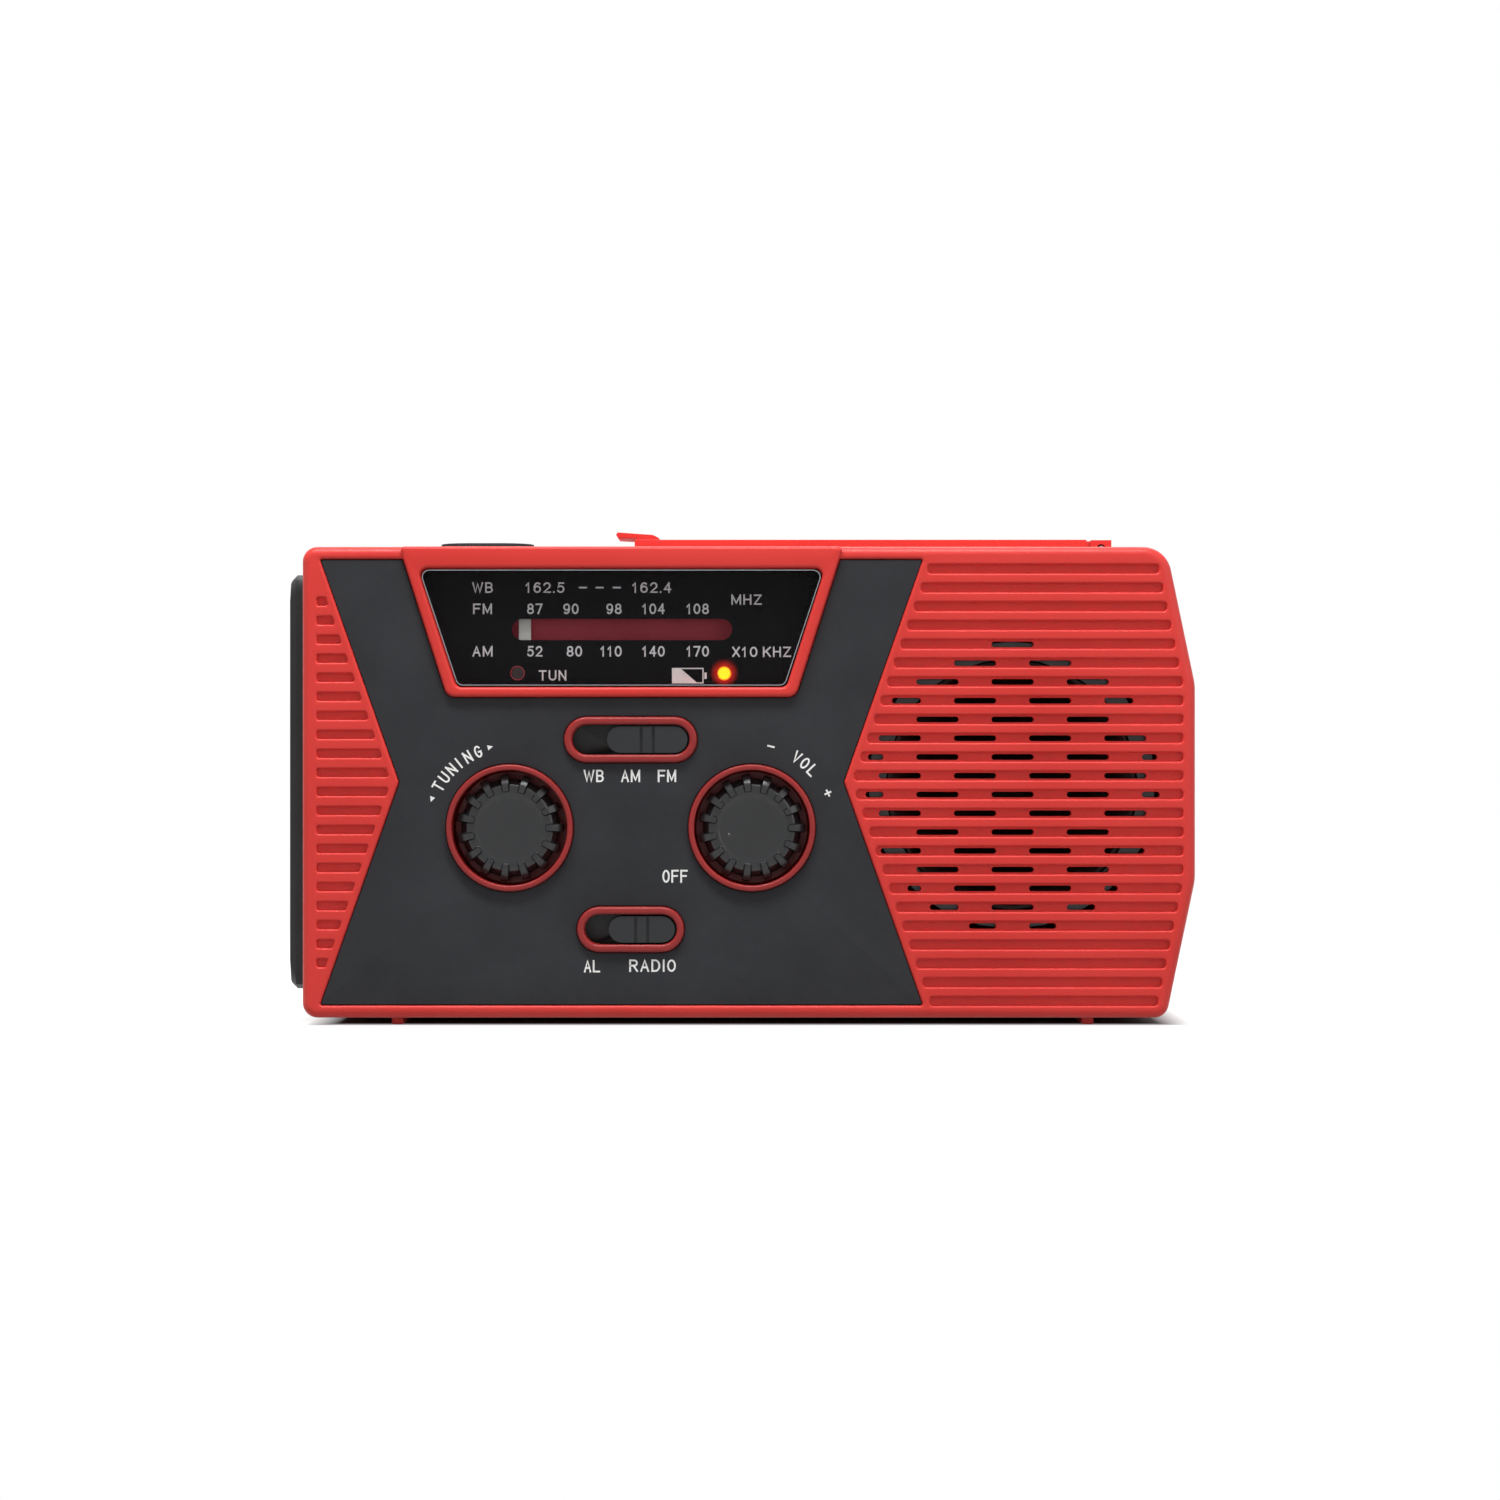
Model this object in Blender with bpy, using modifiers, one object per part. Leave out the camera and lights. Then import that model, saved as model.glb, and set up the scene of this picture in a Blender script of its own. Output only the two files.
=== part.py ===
# Hand crank weather radio, in metres, +Z up, front towards -Y.
# Body coordinates have x = 0 at the middle of the case and y = 0 at its front face.
# An empty named radio_origin moves everything so that the whole radio is centred on the origin.
import bpy
import bmesh
from math import acos, ceil, cos, pi, radians, sin, sqrt, tan
from mathutils import Matrix, Vector

# Case
BODY_WIDTH = 0.155
BODY_HEIGHT = 0.0818
BODY_DEPTH = 0.046
FRONT_DEPTH = 0.020
FOOT_HEIGHT = 0.0013
SIDE_SLANT = 0.005
SIDE_STRAIGHT = 0.034
CORNER_RADIUS = 0.0026
SHOULDER_RADIUS = 0.005
RIM_RADIUS = 0.0015
FRONT_WALL = 0.0028
SIDE_WALL = 0.0022
REAR_WALL = 0.0024

# Clearances
SEAT_GAP = 0.0003
RUN_GAP = 0.0005
OVERRUN = 0.002

# Panel and window
PANEL_MARGIN = 0.0031
PANEL_HALF_WIDTH = 0.0523
PANEL_WAIST = 0.0386
PANEL_EDGE = 0.0022
PANEL_RECESS = 0.0012
FRAME_PROUD = 0.0008
FRAME_TOP_HALF = 0.0385
FRAME_BOTTOM_HALF = 0.0302
FRAME_BOTTOM_DROP = 0.0261
WINDOW_TOP_HALF = 0.0353
WINDOW_BOTTOM_HALF = 0.0286
WINDOW_TOP_DROP = 0.0038
WINDOW_BOTTOM_DROP = 0.0240
WINDOW_LEDGE = 0.0008
WINDOW_SINK = 0.0002
WINDOW_CORNER = 0.0010
WINDOW_THICKNESS = 0.0012

# Controls
CONTROL_OFFSET = 0.0016
KNOB_SPACING = 0.0420
KNOB_DROP = 0.0079
BAND_SWITCH_RISE = 0.0074
FUNCTION_SWITCH_DROP = 0.0255
WELL_RADIUS = 0.0100
RING_WIDTH = 0.0010
RING_PROUD = 0.0008
WELL_DEPTH = 0.0060
WELL_FLOOR = 0.0008
SPINDLE_RADIUS = 0.0024

# Speaker
SPEAKER_INSET = 0.0317
SPEAKER_RADIUS = 0.0250
GRILLE_RADIUS = 0.0256

# Main board
BOARD_FRONT = 0.0170
BOARD_THICKNESS = 0.0016

# Solar lid
LID_LEFT = 0.0574
LID_RIGHT = 0.0142
LID_FRONT = 0.0090
LID_WIDTH = 0.0280
LID_THICKNESS = 0.0014
LID_KNUCKLE_RADIUS = 0.0012

# Antenna
ANTENNA_PIVOT_INSET = 0.0085
ANTENNA_BAY_WALL = 0.0020
ANTENNA_BAY_WIDTH = 0.0070
ANTENNA_BAY_DEPTH = 0.0066
ANTENNA_TIP_INSET = 0.0115

# Crank and gear train
CRANK_X = 0.0200
CRANK_RISE = 0.0038
CRANK_REACH = 0.0360
CRANK_STAND_OFF = 0.0006
CRANK_THICKNESS = 0.0064
CRANK_SHAFT_RADIUS = 0.0030
GRIP_RADIUS = 0.0040
GRIP_AXIS_DEPTH = 0.0043
GEAR_MODULE = 0.0010
CRANK_TEETH = 32
PINION_TEETH = 10
LARGE_TEETH = 30
ROTOR_ANGLE = radians(153)

# Torch
TORCH_PROUD = 0.0030
TORCH_RADIUS = 0.0135

# Places that follow from the sizes above
LEFT = -BODY_WIDTH / 2
RIGHT = BODY_WIDTH / 2
BOTTOM = FOOT_HEIGHT
TOP = FOOT_HEIGHT + BODY_HEIGHT
MIDDLE = FOOT_HEIGHT + BODY_HEIGHT / 2
BACK = max(BODY_DEPTH, LID_FRONT + LID_WIDTH + ANTENNA_BAY_WALL + ANTENNA_BAY_WIDTH)
SPLIT = FRONT_DEPTH + SEAT_GAP
PANEL_X = LEFT + PANEL_MARGIN + PANEL_HALF_WIDTH
CONTROL_X = PANEL_X + CONTROL_OFFSET
TUNING_X = CONTROL_X - KNOB_SPACING / 2
VOLUME_X = CONTROL_X + KNOB_SPACING / 2
KNOB_Z = MIDDLE - KNOB_DROP
BAND_Z = MIDDLE + BAND_SWITCH_RISE
FUNCTION_Z = MIDDLE - FUNCTION_SWITCH_DROP
SPEAKER_X = RIGHT - SPEAKER_INSET
CRANK_Z = MIDDLE + CRANK_RISE
CRANK_FRONT = BACK + CRANK_STAND_OFF
CRANK_BACK = CRANK_FRONT + CRANK_THICKNESS
GRIP_Y = CRANK_FRONT + GRIP_AXIS_DEPTH
COMPOUND_X = CRANK_X - GEAR_MODULE * (CRANK_TEETH + PINION_TEETH) / 2
ROTOR_REACH = GEAR_MODULE * (LARGE_TEETH + PINION_TEETH) / 2
ROTOR_X = COMPOUND_X + ROTOR_REACH * cos(ROTOR_ANGLE)
ROTOR_Z = CRANK_Z + ROTOR_REACH * sin(ROTOR_ANGLE)
ANTENNA_X = RIGHT - ANTENNA_PIVOT_INSET
ANTENNA_BAY_FRONT = BACK - ANTENNA_BAY_WIDTH
LID_START = LEFT + LID_LEFT
LID_END = RIGHT - LID_RIGHT
FRONT_MOST = -max(RING_PROUD, FRAME_PROUD)
BACK_MOST = GRIP_Y + GRIP_RADIUS
ORIGIN_X = TORCH_PROUD / 2
ORIGIN_Y = -(FRONT_MOST + BACK_MOST) / 2

RED = (0.74, 0.045, 0.04)
DARK_RED = (0.19, 0.02, 0.025)
CHARCOAL = (0.04, 0.042, 0.045)
BLACK = (0.012, 0.012, 0.014)
WHITE = (0.8, 0.8, 0.78)
STEEL = (0.55, 0.56, 0.57)
BRASS = (0.62, 0.44, 0.14)
NYLON = (0.72, 0.70, 0.62)
BOARD_GREEN = (0.03, 0.16, 0.06)
COPPER = (0.62, 0.26, 0.12)

for old_object in list(bpy.data.objects):
    bpy.data.objects.remove(old_object, do_unlink=True)

parts_collection = bpy.data.collections.new("hand_crank_weather_radio")
tools_collection = bpy.data.collections.new("cutters")
bpy.context.scene.collection.children.link(parts_collection)
bpy.context.scene.collection.children.link(tools_collection)

# A plate's outline lies in x and z for front, x and y for top, y and z for side.
PLATE_TURN = {"front": (pi / 2, 0, 0), "top": (0, 0, 0), "side": (pi / 2, 0, pi / 2)}
# A turned piece's own z axis lies along y for front, z for top, x for side.
SPIN_TURN = {"front": (-pi / 2, 0, 0), "top": (0, 0, 0), "side": (pi / 2, 0, pi / 2)}


def location(facing, at, along):
    across, up = at
    if facing == "front":
        return Vector((across, along, up))
    if facing == "top":
        return Vector((across, up, along))
    return Vector((along, across, up))


def new_object(name, mesh, facing_turn, place):
    obj = bpy.data.objects.new(name, mesh)
    tools_collection.objects.link(obj)
    obj.rotation_euler = facing_turn
    obj.location = place
    obj.hide_render = True
    obj.display_type = "WIRE"
    return obj


def evaluated_mesh(obj):
    bpy.context.view_layer.update()
    graph = bpy.context.evaluated_depsgraph_get()
    return bpy.data.meshes.new_from_object(obj.evaluated_get(graph))


def weld(mesh, distance=SEAT_GAP / 100):
    shape = bmesh.new()
    shape.from_mesh(mesh)
    bmesh.ops.remove_doubles(shape, verts=shape.verts, dist=distance)
    shape.to_mesh(mesh)
    shape.free()


def plate(name, loops, facing, span, at=(0, 0)):
    # A flat outline with its holes, given thickness from span[0] to span[1].
    curve = bpy.data.curves.new(name, "CURVE")
    curve.dimensions = "2D"
    curve.fill_mode = "BOTH"
    curve.extrude = (span[1] - span[0]) / 2
    for loop in loops:
        spline = curve.splines.new("POLY")
        spline.points.add(len(loop) - 1)
        for point, (across, up) in zip(spline.points, loop):
            point.co = (across, up, 0, 1)
        spline.use_cyclic_u = True
    flat = new_object(name, curve, (0, 0, 0), (0, 0, 0))
    mesh = evaluated_mesh(flat)
    bpy.data.objects.remove(flat)
    weld(mesh)
    place = location(facing, at, (span[0] + span[1]) / 2)
    return new_object(name, mesh, PLATE_TURN[facing], place)


def turned(name, profile, facing, at, steps=24, closed=False):
    # A profile of (radius, place along the axis), carried round the axis.
    area = 0
    for first, second in zip(profile, profile[1:] + profile[:1]):
        area += first[0] * second[1] - second[0] * first[1]
    ordered = profile[::-1] if area > 0 else profile
    mesh = bpy.data.meshes.new(name)
    edges = [(i, i + 1) for i in range(len(ordered) - 1)]
    if closed:
        edges.append((len(ordered) - 1, 0))
    mesh.from_pydata([(radius, 0, along) for radius, along in ordered], edges, [])
    obj = new_object(name, mesh, SPIN_TURN[facing], location(facing, at, 0))
    screw = obj.modifiers.new("Screw", "SCREW")
    screw.steps = steps
    screw.render_steps = steps
    screw.use_merge_vertices = True
    screw.merge_threshold = SEAT_GAP / 100
    screw.use_smooth_shade = True
    return obj


def rod(name, radius, facing, at, span, steps=16):
    # A plain solid cylinder.
    profile = [(0, span[0]), (radius, span[0]), (radius, span[1]), (0, span[1])]
    return turned(name, profile, facing, at, steps)


def ring(name, outer, inner, facing, at, span, steps=24):
    # A plain tube or washer.
    profile = [(inner, span[0]), (outer, span[0]), (outer, span[1]), (inner, span[1])]
    return turned(name, profile, facing, at, steps, closed=True)


def block(name, x_span, y_span, z_span):
    shape = bmesh.new()
    bmesh.ops.create_cube(shape, size=1)
    size = (x_span[1] - x_span[0], y_span[1] - y_span[0], z_span[1] - z_span[0])
    bmesh.ops.scale(shape, vec=size, verts=shape.verts)
    mesh = bpy.data.meshes.new(name)
    shape.to_mesh(mesh)
    shape.free()
    middle = (sum(x_span) / 2, sum(y_span) / 2, sum(z_span) / 2)
    return new_object(name, mesh, (0, 0, 0), middle)


def gather(name, pieces, place=(0, 0, 0), facing_turn=(0, 0, 0)):
    # Separate solids as one object, whose origin is at place.
    shape = bmesh.new()
    home = Matrix.LocRotScale(Vector(place), None, None)
    for piece in pieces:
        mesh = evaluated_mesh(piece)
        mesh.transform(home.inverted() @ piece.matrix_basis)
        shape.from_mesh(mesh)
        bpy.data.objects.remove(piece)
        bpy.data.meshes.remove(mesh)
    joined = bpy.data.meshes.new(name)
    shape.to_mesh(joined)
    shape.free()
    return new_object(name, joined, facing_turn, place)


def combine(obj, tool, operation, solver):
    step = obj.modifiers.new(operation.title(), "BOOLEAN")
    step.operation = operation
    step.solver = solver
    step.object = tool


def cut(obj, *pieces, solver="EXACT"):
    combine(obj, gather(obj.name + "_cutter", pieces), "DIFFERENCE", solver)


def unite(obj, *pieces, solver="EXACT"):
    combine(obj, gather(obj.name + "_addition", pieces), "UNION", solver)


def soften(obj, width, segments=1, face=None):
    # Rounds the sharp edges, or only those of the end face with that sign along the plate's own z.
    edge_angle = radians(30)
    bevel = obj.modifiers.new("Bevel", "BEVEL")
    bevel.width = width
    bevel.segments = segments
    bevel.limit_method = "ANGLE"
    bevel.angle_limit = edge_angle
    if face is None:
        return
    shape = bmesh.new()
    shape.from_mesh(obj.data)
    flat_angle = radians(1)
    bmesh.ops.dissolve_limit(shape, angle_limit=flat_angle, verts=shape.verts, edges=shape.edges)
    weight = shape.edges.layers.float.new("bevel_weight_edge")
    end = max(vert.co.z * face for vert in shape.verts)
    for edge in shape.edges:
        on_end = all(abs(vert.co.z * face - end) < SEAT_GAP / 10 for vert in edge.verts)
        if on_end and edge.calc_face_angle(0) > edge_angle:
            edge[weight] = 1
    shape.to_mesh(obj.data)
    shape.free()
    bevel.limit_method = "WEIGHT"


def finish(obj, colour, roughness, metallic=0.0):
    # Makes a shape one of the radio's named parts, with its own material.
    tools_collection.objects.unlink(obj)
    parts_collection.objects.link(obj)
    obj.hide_render = False
    obj.display_type = "TEXTURED"
    skin = bpy.data.materials.new(obj.name)
    skin.use_nodes = True
    shader = skin.node_tree.nodes["Principled BSDF"]
    shader.inputs["Base Color"].default_value = (*colour, 1)
    shader.inputs["Roughness"].default_value = roughness
    shader.inputs["Metallic"].default_value = metallic
    obj.data.materials.clear()
    obj.data.materials.append(skin)


def rounded(corners, segments=4):
    # Corners are (across, up, radius), and each radius becomes an arc.
    points = []
    for i, (across, up, radius) in enumerate(corners):
        corner = Vector((across, up))
        if radius == 0:
            points.append((across, up))
            continue
        before = (Vector(corners[i - 1][:2]) - corner).normalized()
        after = (Vector(corners[(i + 1) % len(corners)][:2]) - corner).normalized()
        half = before.angle(after) / 2
        centre = corner + (before + after).normalized() * (radius / sin(half))
        start = corner + before * (radius / tan(half)) - centre
        end = corner + after * (radius / tan(half)) - centre
        sweep = -start.angle_signed(end)
        for step in range(segments + 1):
            turn = Matrix.Rotation(sweep * step / segments, 2)
            points.append(tuple(centre + turn @ start))
    return points


def box_loop(left, right, bottom, top, radius=0, segments=3):
    corners = [(left, bottom, radius), (right, bottom, radius)]
    corners += [(right, top, radius), (left, top, radius)]
    return rounded(corners, segments)


def circle(radius, count=24, centre=(0, 0), start=0):
    turns = [start + 2 * pi * step / count for step in range(count)]
    return [(centre[0] + radius * cos(turn), centre[1] + radius * sin(turn)) for turn in turns]


def pill(across, up, length, height, segments=5):
    # A straight slot with round ends.
    radius = height / 2 * 0.999
    left = across - length / 2
    right = across + length / 2
    return box_loop(left, right, up - height / 2, up + height / 2, radius, segments)


def body_outline(inset=0):
    low = BOTTOM + inset
    high = TOP - inset
    side = RIGHT - inset
    shoulder = RIGHT - SIDE_SLANT - inset
    small = max(CORNER_RADIUS - inset, CORNER_RADIUS / 4)
    large = max(SHOULDER_RADIUS - inset, SHOULDER_RADIUS / 4)
    bend = SHOULDER_RADIUS * 2
    corners = [(LEFT + inset, low, small), (shoulder, low, small)]
    corners += [(side, MIDDLE - SIDE_STRAIGHT / 2, bend), (side, MIDDLE + SIDE_STRAIGHT / 2, bend)]
    corners += [(shoulder, high, large), (LEFT + inset, high, small)]
    return rounded(corners)


# Front case and panel
GROOVE_DEPTH = 0.0008
GROOVE_MARGIN = 0.0014
GROOVE_INSET = 0.0022
LEFT_ROWS = 22
LEFT_PITCH = 0.0033
LEFT_GROOVE_HEIGHT = 0.00145
LEFT_GROOVE_INSET = 0.0026
LEFT_GROOVE_LEAST = 0.0010
RIGHT_ROWS = 24
RIGHT_PITCH = 0.00326
RIGHT_GROOVE_HEIGHT = 0.0016
GRILLE_ROWS = 16
GRILLE_DROP = 0.0005
SLOT_LENGTH = 0.00735
SLOT_HEIGHT = 0.0009
SLOT_PITCH = 0.01305
SLOT_LEAST = 0.0020
BAND_RIM_LENGTH = 0.0231
FUNCTION_RIM_LENGTH = 0.0186
BAND_OPENING = 0.0204
FUNCTION_OPENING = 0.0160
SWITCH_OPENING_HEIGHT = 0.0052
SWITCH_RIM_HEIGHT = 0.0079
RIM_PROUD = 0.0006
FRAME_EDGE = 0.0004
BOARD_LEFT_INSET = 0.0175
BOARD_SPEAKER_REACH = 0.0308
BOARD_LIFT = 0.0050
BOARD_TOP_DROP = 0.0141
POST_RADIUS = 0.0025
POST_INSET = 0.0035
BOARD_POST_RISE = 0.0430
SCREW_POST_RADIUS = 0.0032
SCREW_LEFT_INSET = 0.0065
SCREW_RIGHT_INSET = 0.0090
SCREW_LOW_INSET = 0.0065
SCREW_HIGH_INSET = 0.0130
SCREW_HOLE_RADIUS = 0.0012
SCREW_HOLE_DEPTH = 0.0100
FOOT_WIDTH = 0.0021
FOOT_LEFT_INSET = 0.0163
FOOT_RIGHT_INSET = 0.0185
FOOT_END_INSET = 0.0030
BUTTON_X_INSET = 0.0313
BUTTON_Y = 0.0125
BUTTON_LENGTH = 0.0170
BUTTON_WIDTH = 0.0110
LID_OVERLAP = 0.0010
BOARD_LEFT = LEFT + BOARD_LEFT_INSET
BOARD_BOTTOM = BOTTOM + BOARD_LIFT
BOARD_WIDTH = SPEAKER_X - BOARD_SPEAKER_REACH - BOARD_LEFT
BOARD_HEIGHT = TOP - BOARD_TOP_DROP - BOARD_BOTTOM
GRILLE_Z = MIDDLE - GRILLE_DROP
BUTTON_X = LEFT + BUTTON_X_INSET
SCREW_PLACES = [
    (x, z)
    for x in (LEFT + SCREW_LEFT_INSET, RIGHT - SCREW_RIGHT_INSET)
    for z in (BOTTOM + SCREW_LOW_INSET, TOP - SCREW_HIGH_INSET)
]
FOOT_PLACES = (LEFT + FOOT_LEFT_INSET, RIGHT - FOOT_RIGHT_INSET)


def panel_half(z, rise=BODY_HEIGHT / 2 - PANEL_EDGE):
    return PANEL_WAIST + (PANEL_HALF_WIDTH - PANEL_WAIST) * abs(z - MIDDLE) / rise


def right_edge(z):
    slope = SIDE_SLANT / (BODY_HEIGHT / 2 - SIDE_STRAIGHT / 2)
    return RIGHT - max(abs(z - MIDDLE) - SIDE_STRAIGHT / 2, 0) * slope


def frame_half(z):
    fall = (TOP - z) / FRAME_BOTTOM_DROP
    return FRAME_TOP_HALF + (FRAME_BOTTOM_HALF - FRAME_TOP_HALF) * fall


def window_loop(grow):
    radius = WINDOW_CORNER
    high = TOP - WINDOW_TOP_DROP + grow
    low = TOP - WINDOW_BOTTOM_DROP - grow
    wide = WINDOW_TOP_HALF + grow
    narrow = WINDOW_BOTTOM_HALF + grow
    corners = [(PANEL_X - narrow, low, radius), (PANEL_X + narrow, low, radius)]
    corners += [(PANEL_X + wide, high, radius), (PANEL_X - wide, high, radius)]
    return rounded(corners, 3)


def groove_loops():
    loops = []
    for row in range(LEFT_ROWS):
        z = MIDDLE + (row - (LEFT_ROWS - 1) / 2) * LEFT_PITCH
        low = z - LEFT_GROOVE_HEIGHT / 2
        high = z + LEFT_GROOVE_HEIGHT / 2
        start = LEFT + LEFT_GROOVE_INSET
        low_end = PANEL_X - panel_half(low) - GROOVE_MARGIN
        high_end = PANEL_X - panel_half(high) - GROOVE_MARGIN
        if min(low_end, high_end) - start > LEFT_GROOVE_LEAST:
            loops.append([(start, low), (low_end, low), (high_end, high), (start, high)])
    for row in range(RIGHT_ROWS):
        z = GRILLE_Z + (row - (RIGHT_ROWS - 1) / 2) * RIGHT_PITCH
        start = PANEL_X + panel_half(z) + GROOVE_MARGIN
        end = right_edge(z) - GROOVE_INSET
        half = RIGHT_GROOVE_HEIGHT / 2
        loops.append(box_loop(start, end, z - half, z + half, half / 2, 1))
    return loops


def slot_loops():
    # Slots lie in every second place of a brick pattern, cut off at a circle round the speaker.
    loops = []
    for row in range(GRILLE_ROWS):
        rise = ((GRILLE_ROWS - 1) / 2 - row) * RIGHT_PITCH
        chord = sqrt(max(GRILLE_RADIUS ** 2 - rise ** 2, 0))
        shift = SLOT_PITCH / 2 if row % 2 else 0
        places = ceil(chord / SLOT_PITCH)
        for column in range(-places, places + 1):
            middle = shift + column * SLOT_PITCH
            left = max(middle - SLOT_LENGTH / 2, -chord)
            right = min(middle + SLOT_LENGTH / 2, chord)
            if right - left > SLOT_LEAST:
                centre = SPEAKER_X + (left + right) / 2
                loops.append(pill(centre, GRILLE_Z + rise, right - left, SLOT_HEIGHT, 1))
    return loops


def front_case():
    case = plate("front_case", [body_outline()], "front", (0, FRONT_DEPTH))
    soften(case, RIM_RADIUS, 2, face=1)
    inside = plate("inside", [body_outline(SIDE_WALL)], "front", (FRONT_WALL, FRONT_DEPTH + OVERRUN))
    high = TOP - PANEL_EDGE
    low = BOTTOM + PANEL_EDGE
    waist = [(PANEL_X - PANEL_HALF_WIDTH, low), (PANEL_X + PANEL_HALF_WIDTH, low)]
    waist += [(PANEL_X + PANEL_WAIST, MIDDLE), (PANEL_X + PANEL_HALF_WIDTH, high)]
    waist += [(PANEL_X - PANEL_HALF_WIDTH, high), (PANEL_X - PANEL_WAIST, MIDDLE)]
    recess = plate("recess", [waist], "front", (-OVERRUN, PANEL_RECESS))
    cut(case, inside, recess)

    rooted = (PANEL_RECESS + FRONT_WALL) / 2
    frame_low = TOP - FRAME_BOTTOM_DROP
    frame_high = TOP - SEAT_GAP
    frame = [(PANEL_X - FRAME_BOTTOM_HALF, frame_low), (PANEL_X + FRAME_BOTTOM_HALF, frame_low)]
    frame += [(PANEL_X + FRAME_TOP_HALF, frame_high), (PANEL_X - FRAME_TOP_HALF, frame_high)]
    window_frame = plate("window_frame", [frame], "front", (-FRAME_PROUD, rooted))
    soften(window_frame, FRAME_EDGE, 1, face=1)
    added = [window_frame]
    for x in (TUNING_X, VOLUME_X):
        span = (-RING_PROUD, WELL_DEPTH + WELL_FLOOR)
        added.append(rod("well", WELL_RADIUS + RING_WIDTH, "front", (x, KNOB_Z), span, 36))
    for z, length in ((BAND_Z, BAND_RIM_LENGTH), (FUNCTION_Z, FUNCTION_RIM_LENGTH)):
        rim = pill(CONTROL_X, z, length, SWITCH_RIM_HEIGHT)
        added.append(plate("rim", [rim], "front", (-RIM_PROUD, rooted)))
    for x in (BOARD_LEFT + POST_INSET, BOARD_LEFT + BOARD_WIDTH - POST_INSET):
        for z in (BOARD_BOTTOM + POST_INSET, BOARD_BOTTOM + POST_INSET + BOARD_POST_RISE):
            added.append(rod("post", POST_RADIUS, "front", (x, z), (rooted, BOARD_FRONT - SEAT_GAP), 10))
    for place in SCREW_PLACES:
        added.append(rod("screw_post", SCREW_POST_RADIUS, "front", place, (rooted, FRONT_DEPTH), 12))
    for x in FOOT_PLACES:
        feet_x = (x - FOOT_WIDTH / 2, x + FOOT_WIDTH / 2)
        added.append(block("foot", feet_x, (FOOT_END_INSET, FRONT_DEPTH), (0, BOTTOM + SIDE_WALL / 2)))
    unite(case, *added)

    window_back = WINDOW_SINK - FRAME_PROUD + WINDOW_THICKNESS + SEAT_GAP
    opening = plate("opening", [window_loop(0)], "front", (-OVERRUN, window_back))
    grooves = plate("grooves", groove_loops(), "front", (-OVERRUN, GROOVE_DEPTH))
    removed = [opening, grooves]
    for x in (TUNING_X, VOLUME_X):
        removed.append(rod("bore", WELL_RADIUS, "front", (x, KNOB_Z), (-OVERRUN, WELL_DEPTH), 36))
    for z, length in ((BAND_Z, BAND_OPENING), (FUNCTION_Z, FUNCTION_OPENING)):
        way = pill(CONTROL_X, z, length, SWITCH_OPENING_HEIGHT)
        removed.append(plate("way", [way], "front", (-OVERRUN, FRONT_WALL + OVERRUN)))
    top_span = (TOP - SIDE_WALL - OVERRUN, TOP + OVERRUN)
    pad = pill(BUTTON_X, BUTTON_Y, BUTTON_LENGTH, BUTTON_WIDTH)
    removed.append(plate("pad_hole", [pad], "top", top_span))
    removed.append(tray_opening())
    removed.append(torch_opening())
    cut(case, *removed)

    light = plate("light", [window_loop(-WINDOW_LEDGE)], "front", (-OVERRUN, FRONT_WALL + OVERRUN))
    slots = plate("slots", slot_loops(), "front", (-OVERRUN, FRONT_WALL + OVERRUN))
    drilled = [light, slots]
    for x in (TUNING_X, VOLUME_X):
        span = (WELL_DEPTH - OVERRUN, WELL_DEPTH + WELL_FLOOR + OVERRUN)
        drilled.append(rod("hole", SPINDLE_RADIUS + SEAT_GAP, "front", (x, KNOB_Z), span))
    for place in SCREW_PLACES:
        span = (FRONT_DEPTH - SCREW_HOLE_DEPTH, FRONT_DEPTH + OVERRUN)
        drilled.append(rod("hole", SCREW_HOLE_RADIUS, "front", place, span, 8))
    cut(case, *drilled, solver="MANIFOLD")
    finish(case, RED, 0.42)


def front_panel():
    high = TOP - PANEL_EDGE - SEAT_GAP
    low = BOTTOM + PANEL_EDGE + SEAT_GAP
    wide = PANEL_HALF_WIDTH - SEAT_GAP
    waist = PANEL_WAIST - SEAT_GAP
    notch_high = frame_half(high) + 2 * SEAT_GAP
    notch_low = FRAME_BOTTOM_HALF + SEAT_GAP
    frame_low = TOP - FRAME_BOTTOM_DROP - SEAT_GAP
    right_half = [(wide, low), (waist, MIDDLE), (wide, high), (notch_high, high), (notch_low, frame_low)]
    left_half = [(-across, up) for across, up in reversed(right_half)]
    outline = [(PANEL_X + across, up) for across, up in right_half + left_half]
    loops = [outline]
    for x in (TUNING_X, VOLUME_X):
        loops.append(circle(WELL_RADIUS + RING_WIDTH + SEAT_GAP, 36, (x, KNOB_Z)))
    for z, length in ((BAND_Z, BAND_RIM_LENGTH), (FUNCTION_Z, FUNCTION_RIM_LENGTH)):
        grow = 2 * SEAT_GAP
        loops.append(pill(CONTROL_X, z, length + grow, SWITCH_RIM_HEIGHT + grow))
    finish(plate("front_panel", loops, "front", (0, PANEL_RECESS - SEAT_GAP)), CHARCOAL, 0.55)


# Dial: window, mask, pointer, backing with its cord guides, and cord
MASK_THICKNESS = 0.0005
MASK_MARGIN = 0.0006
DIAL_SLOT_DROP = 0.0143
DIAL_SLOT_HEIGHT = 0.0037
DIAL_SLOT_LENGTH = 0.0384
POINTER_TRAVEL = 0.0340
POINTER_WIDTH = 0.00215
POINTER_THICKNESS = 0.0008
POINTER_GAP = 0.0006
POINTER_BELOW = 0.0035
TRACK_RISE = 0.0040
TAB_HEIGHT = 0.0045
TAB_ABOVE_CORD = 0.0030
BACKING_HALF = 0.0300
BACKING_DROP = 0.0058
BACKING_THICKNESS = 0.0010
FLANGE_THICKNESS = 0.0012
LED_DROP = 0.0219
TUNING_LED_X = 0.0182
CHARGE_LED_X = 0.0178
LED_RADIUS = 0.0012
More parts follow.
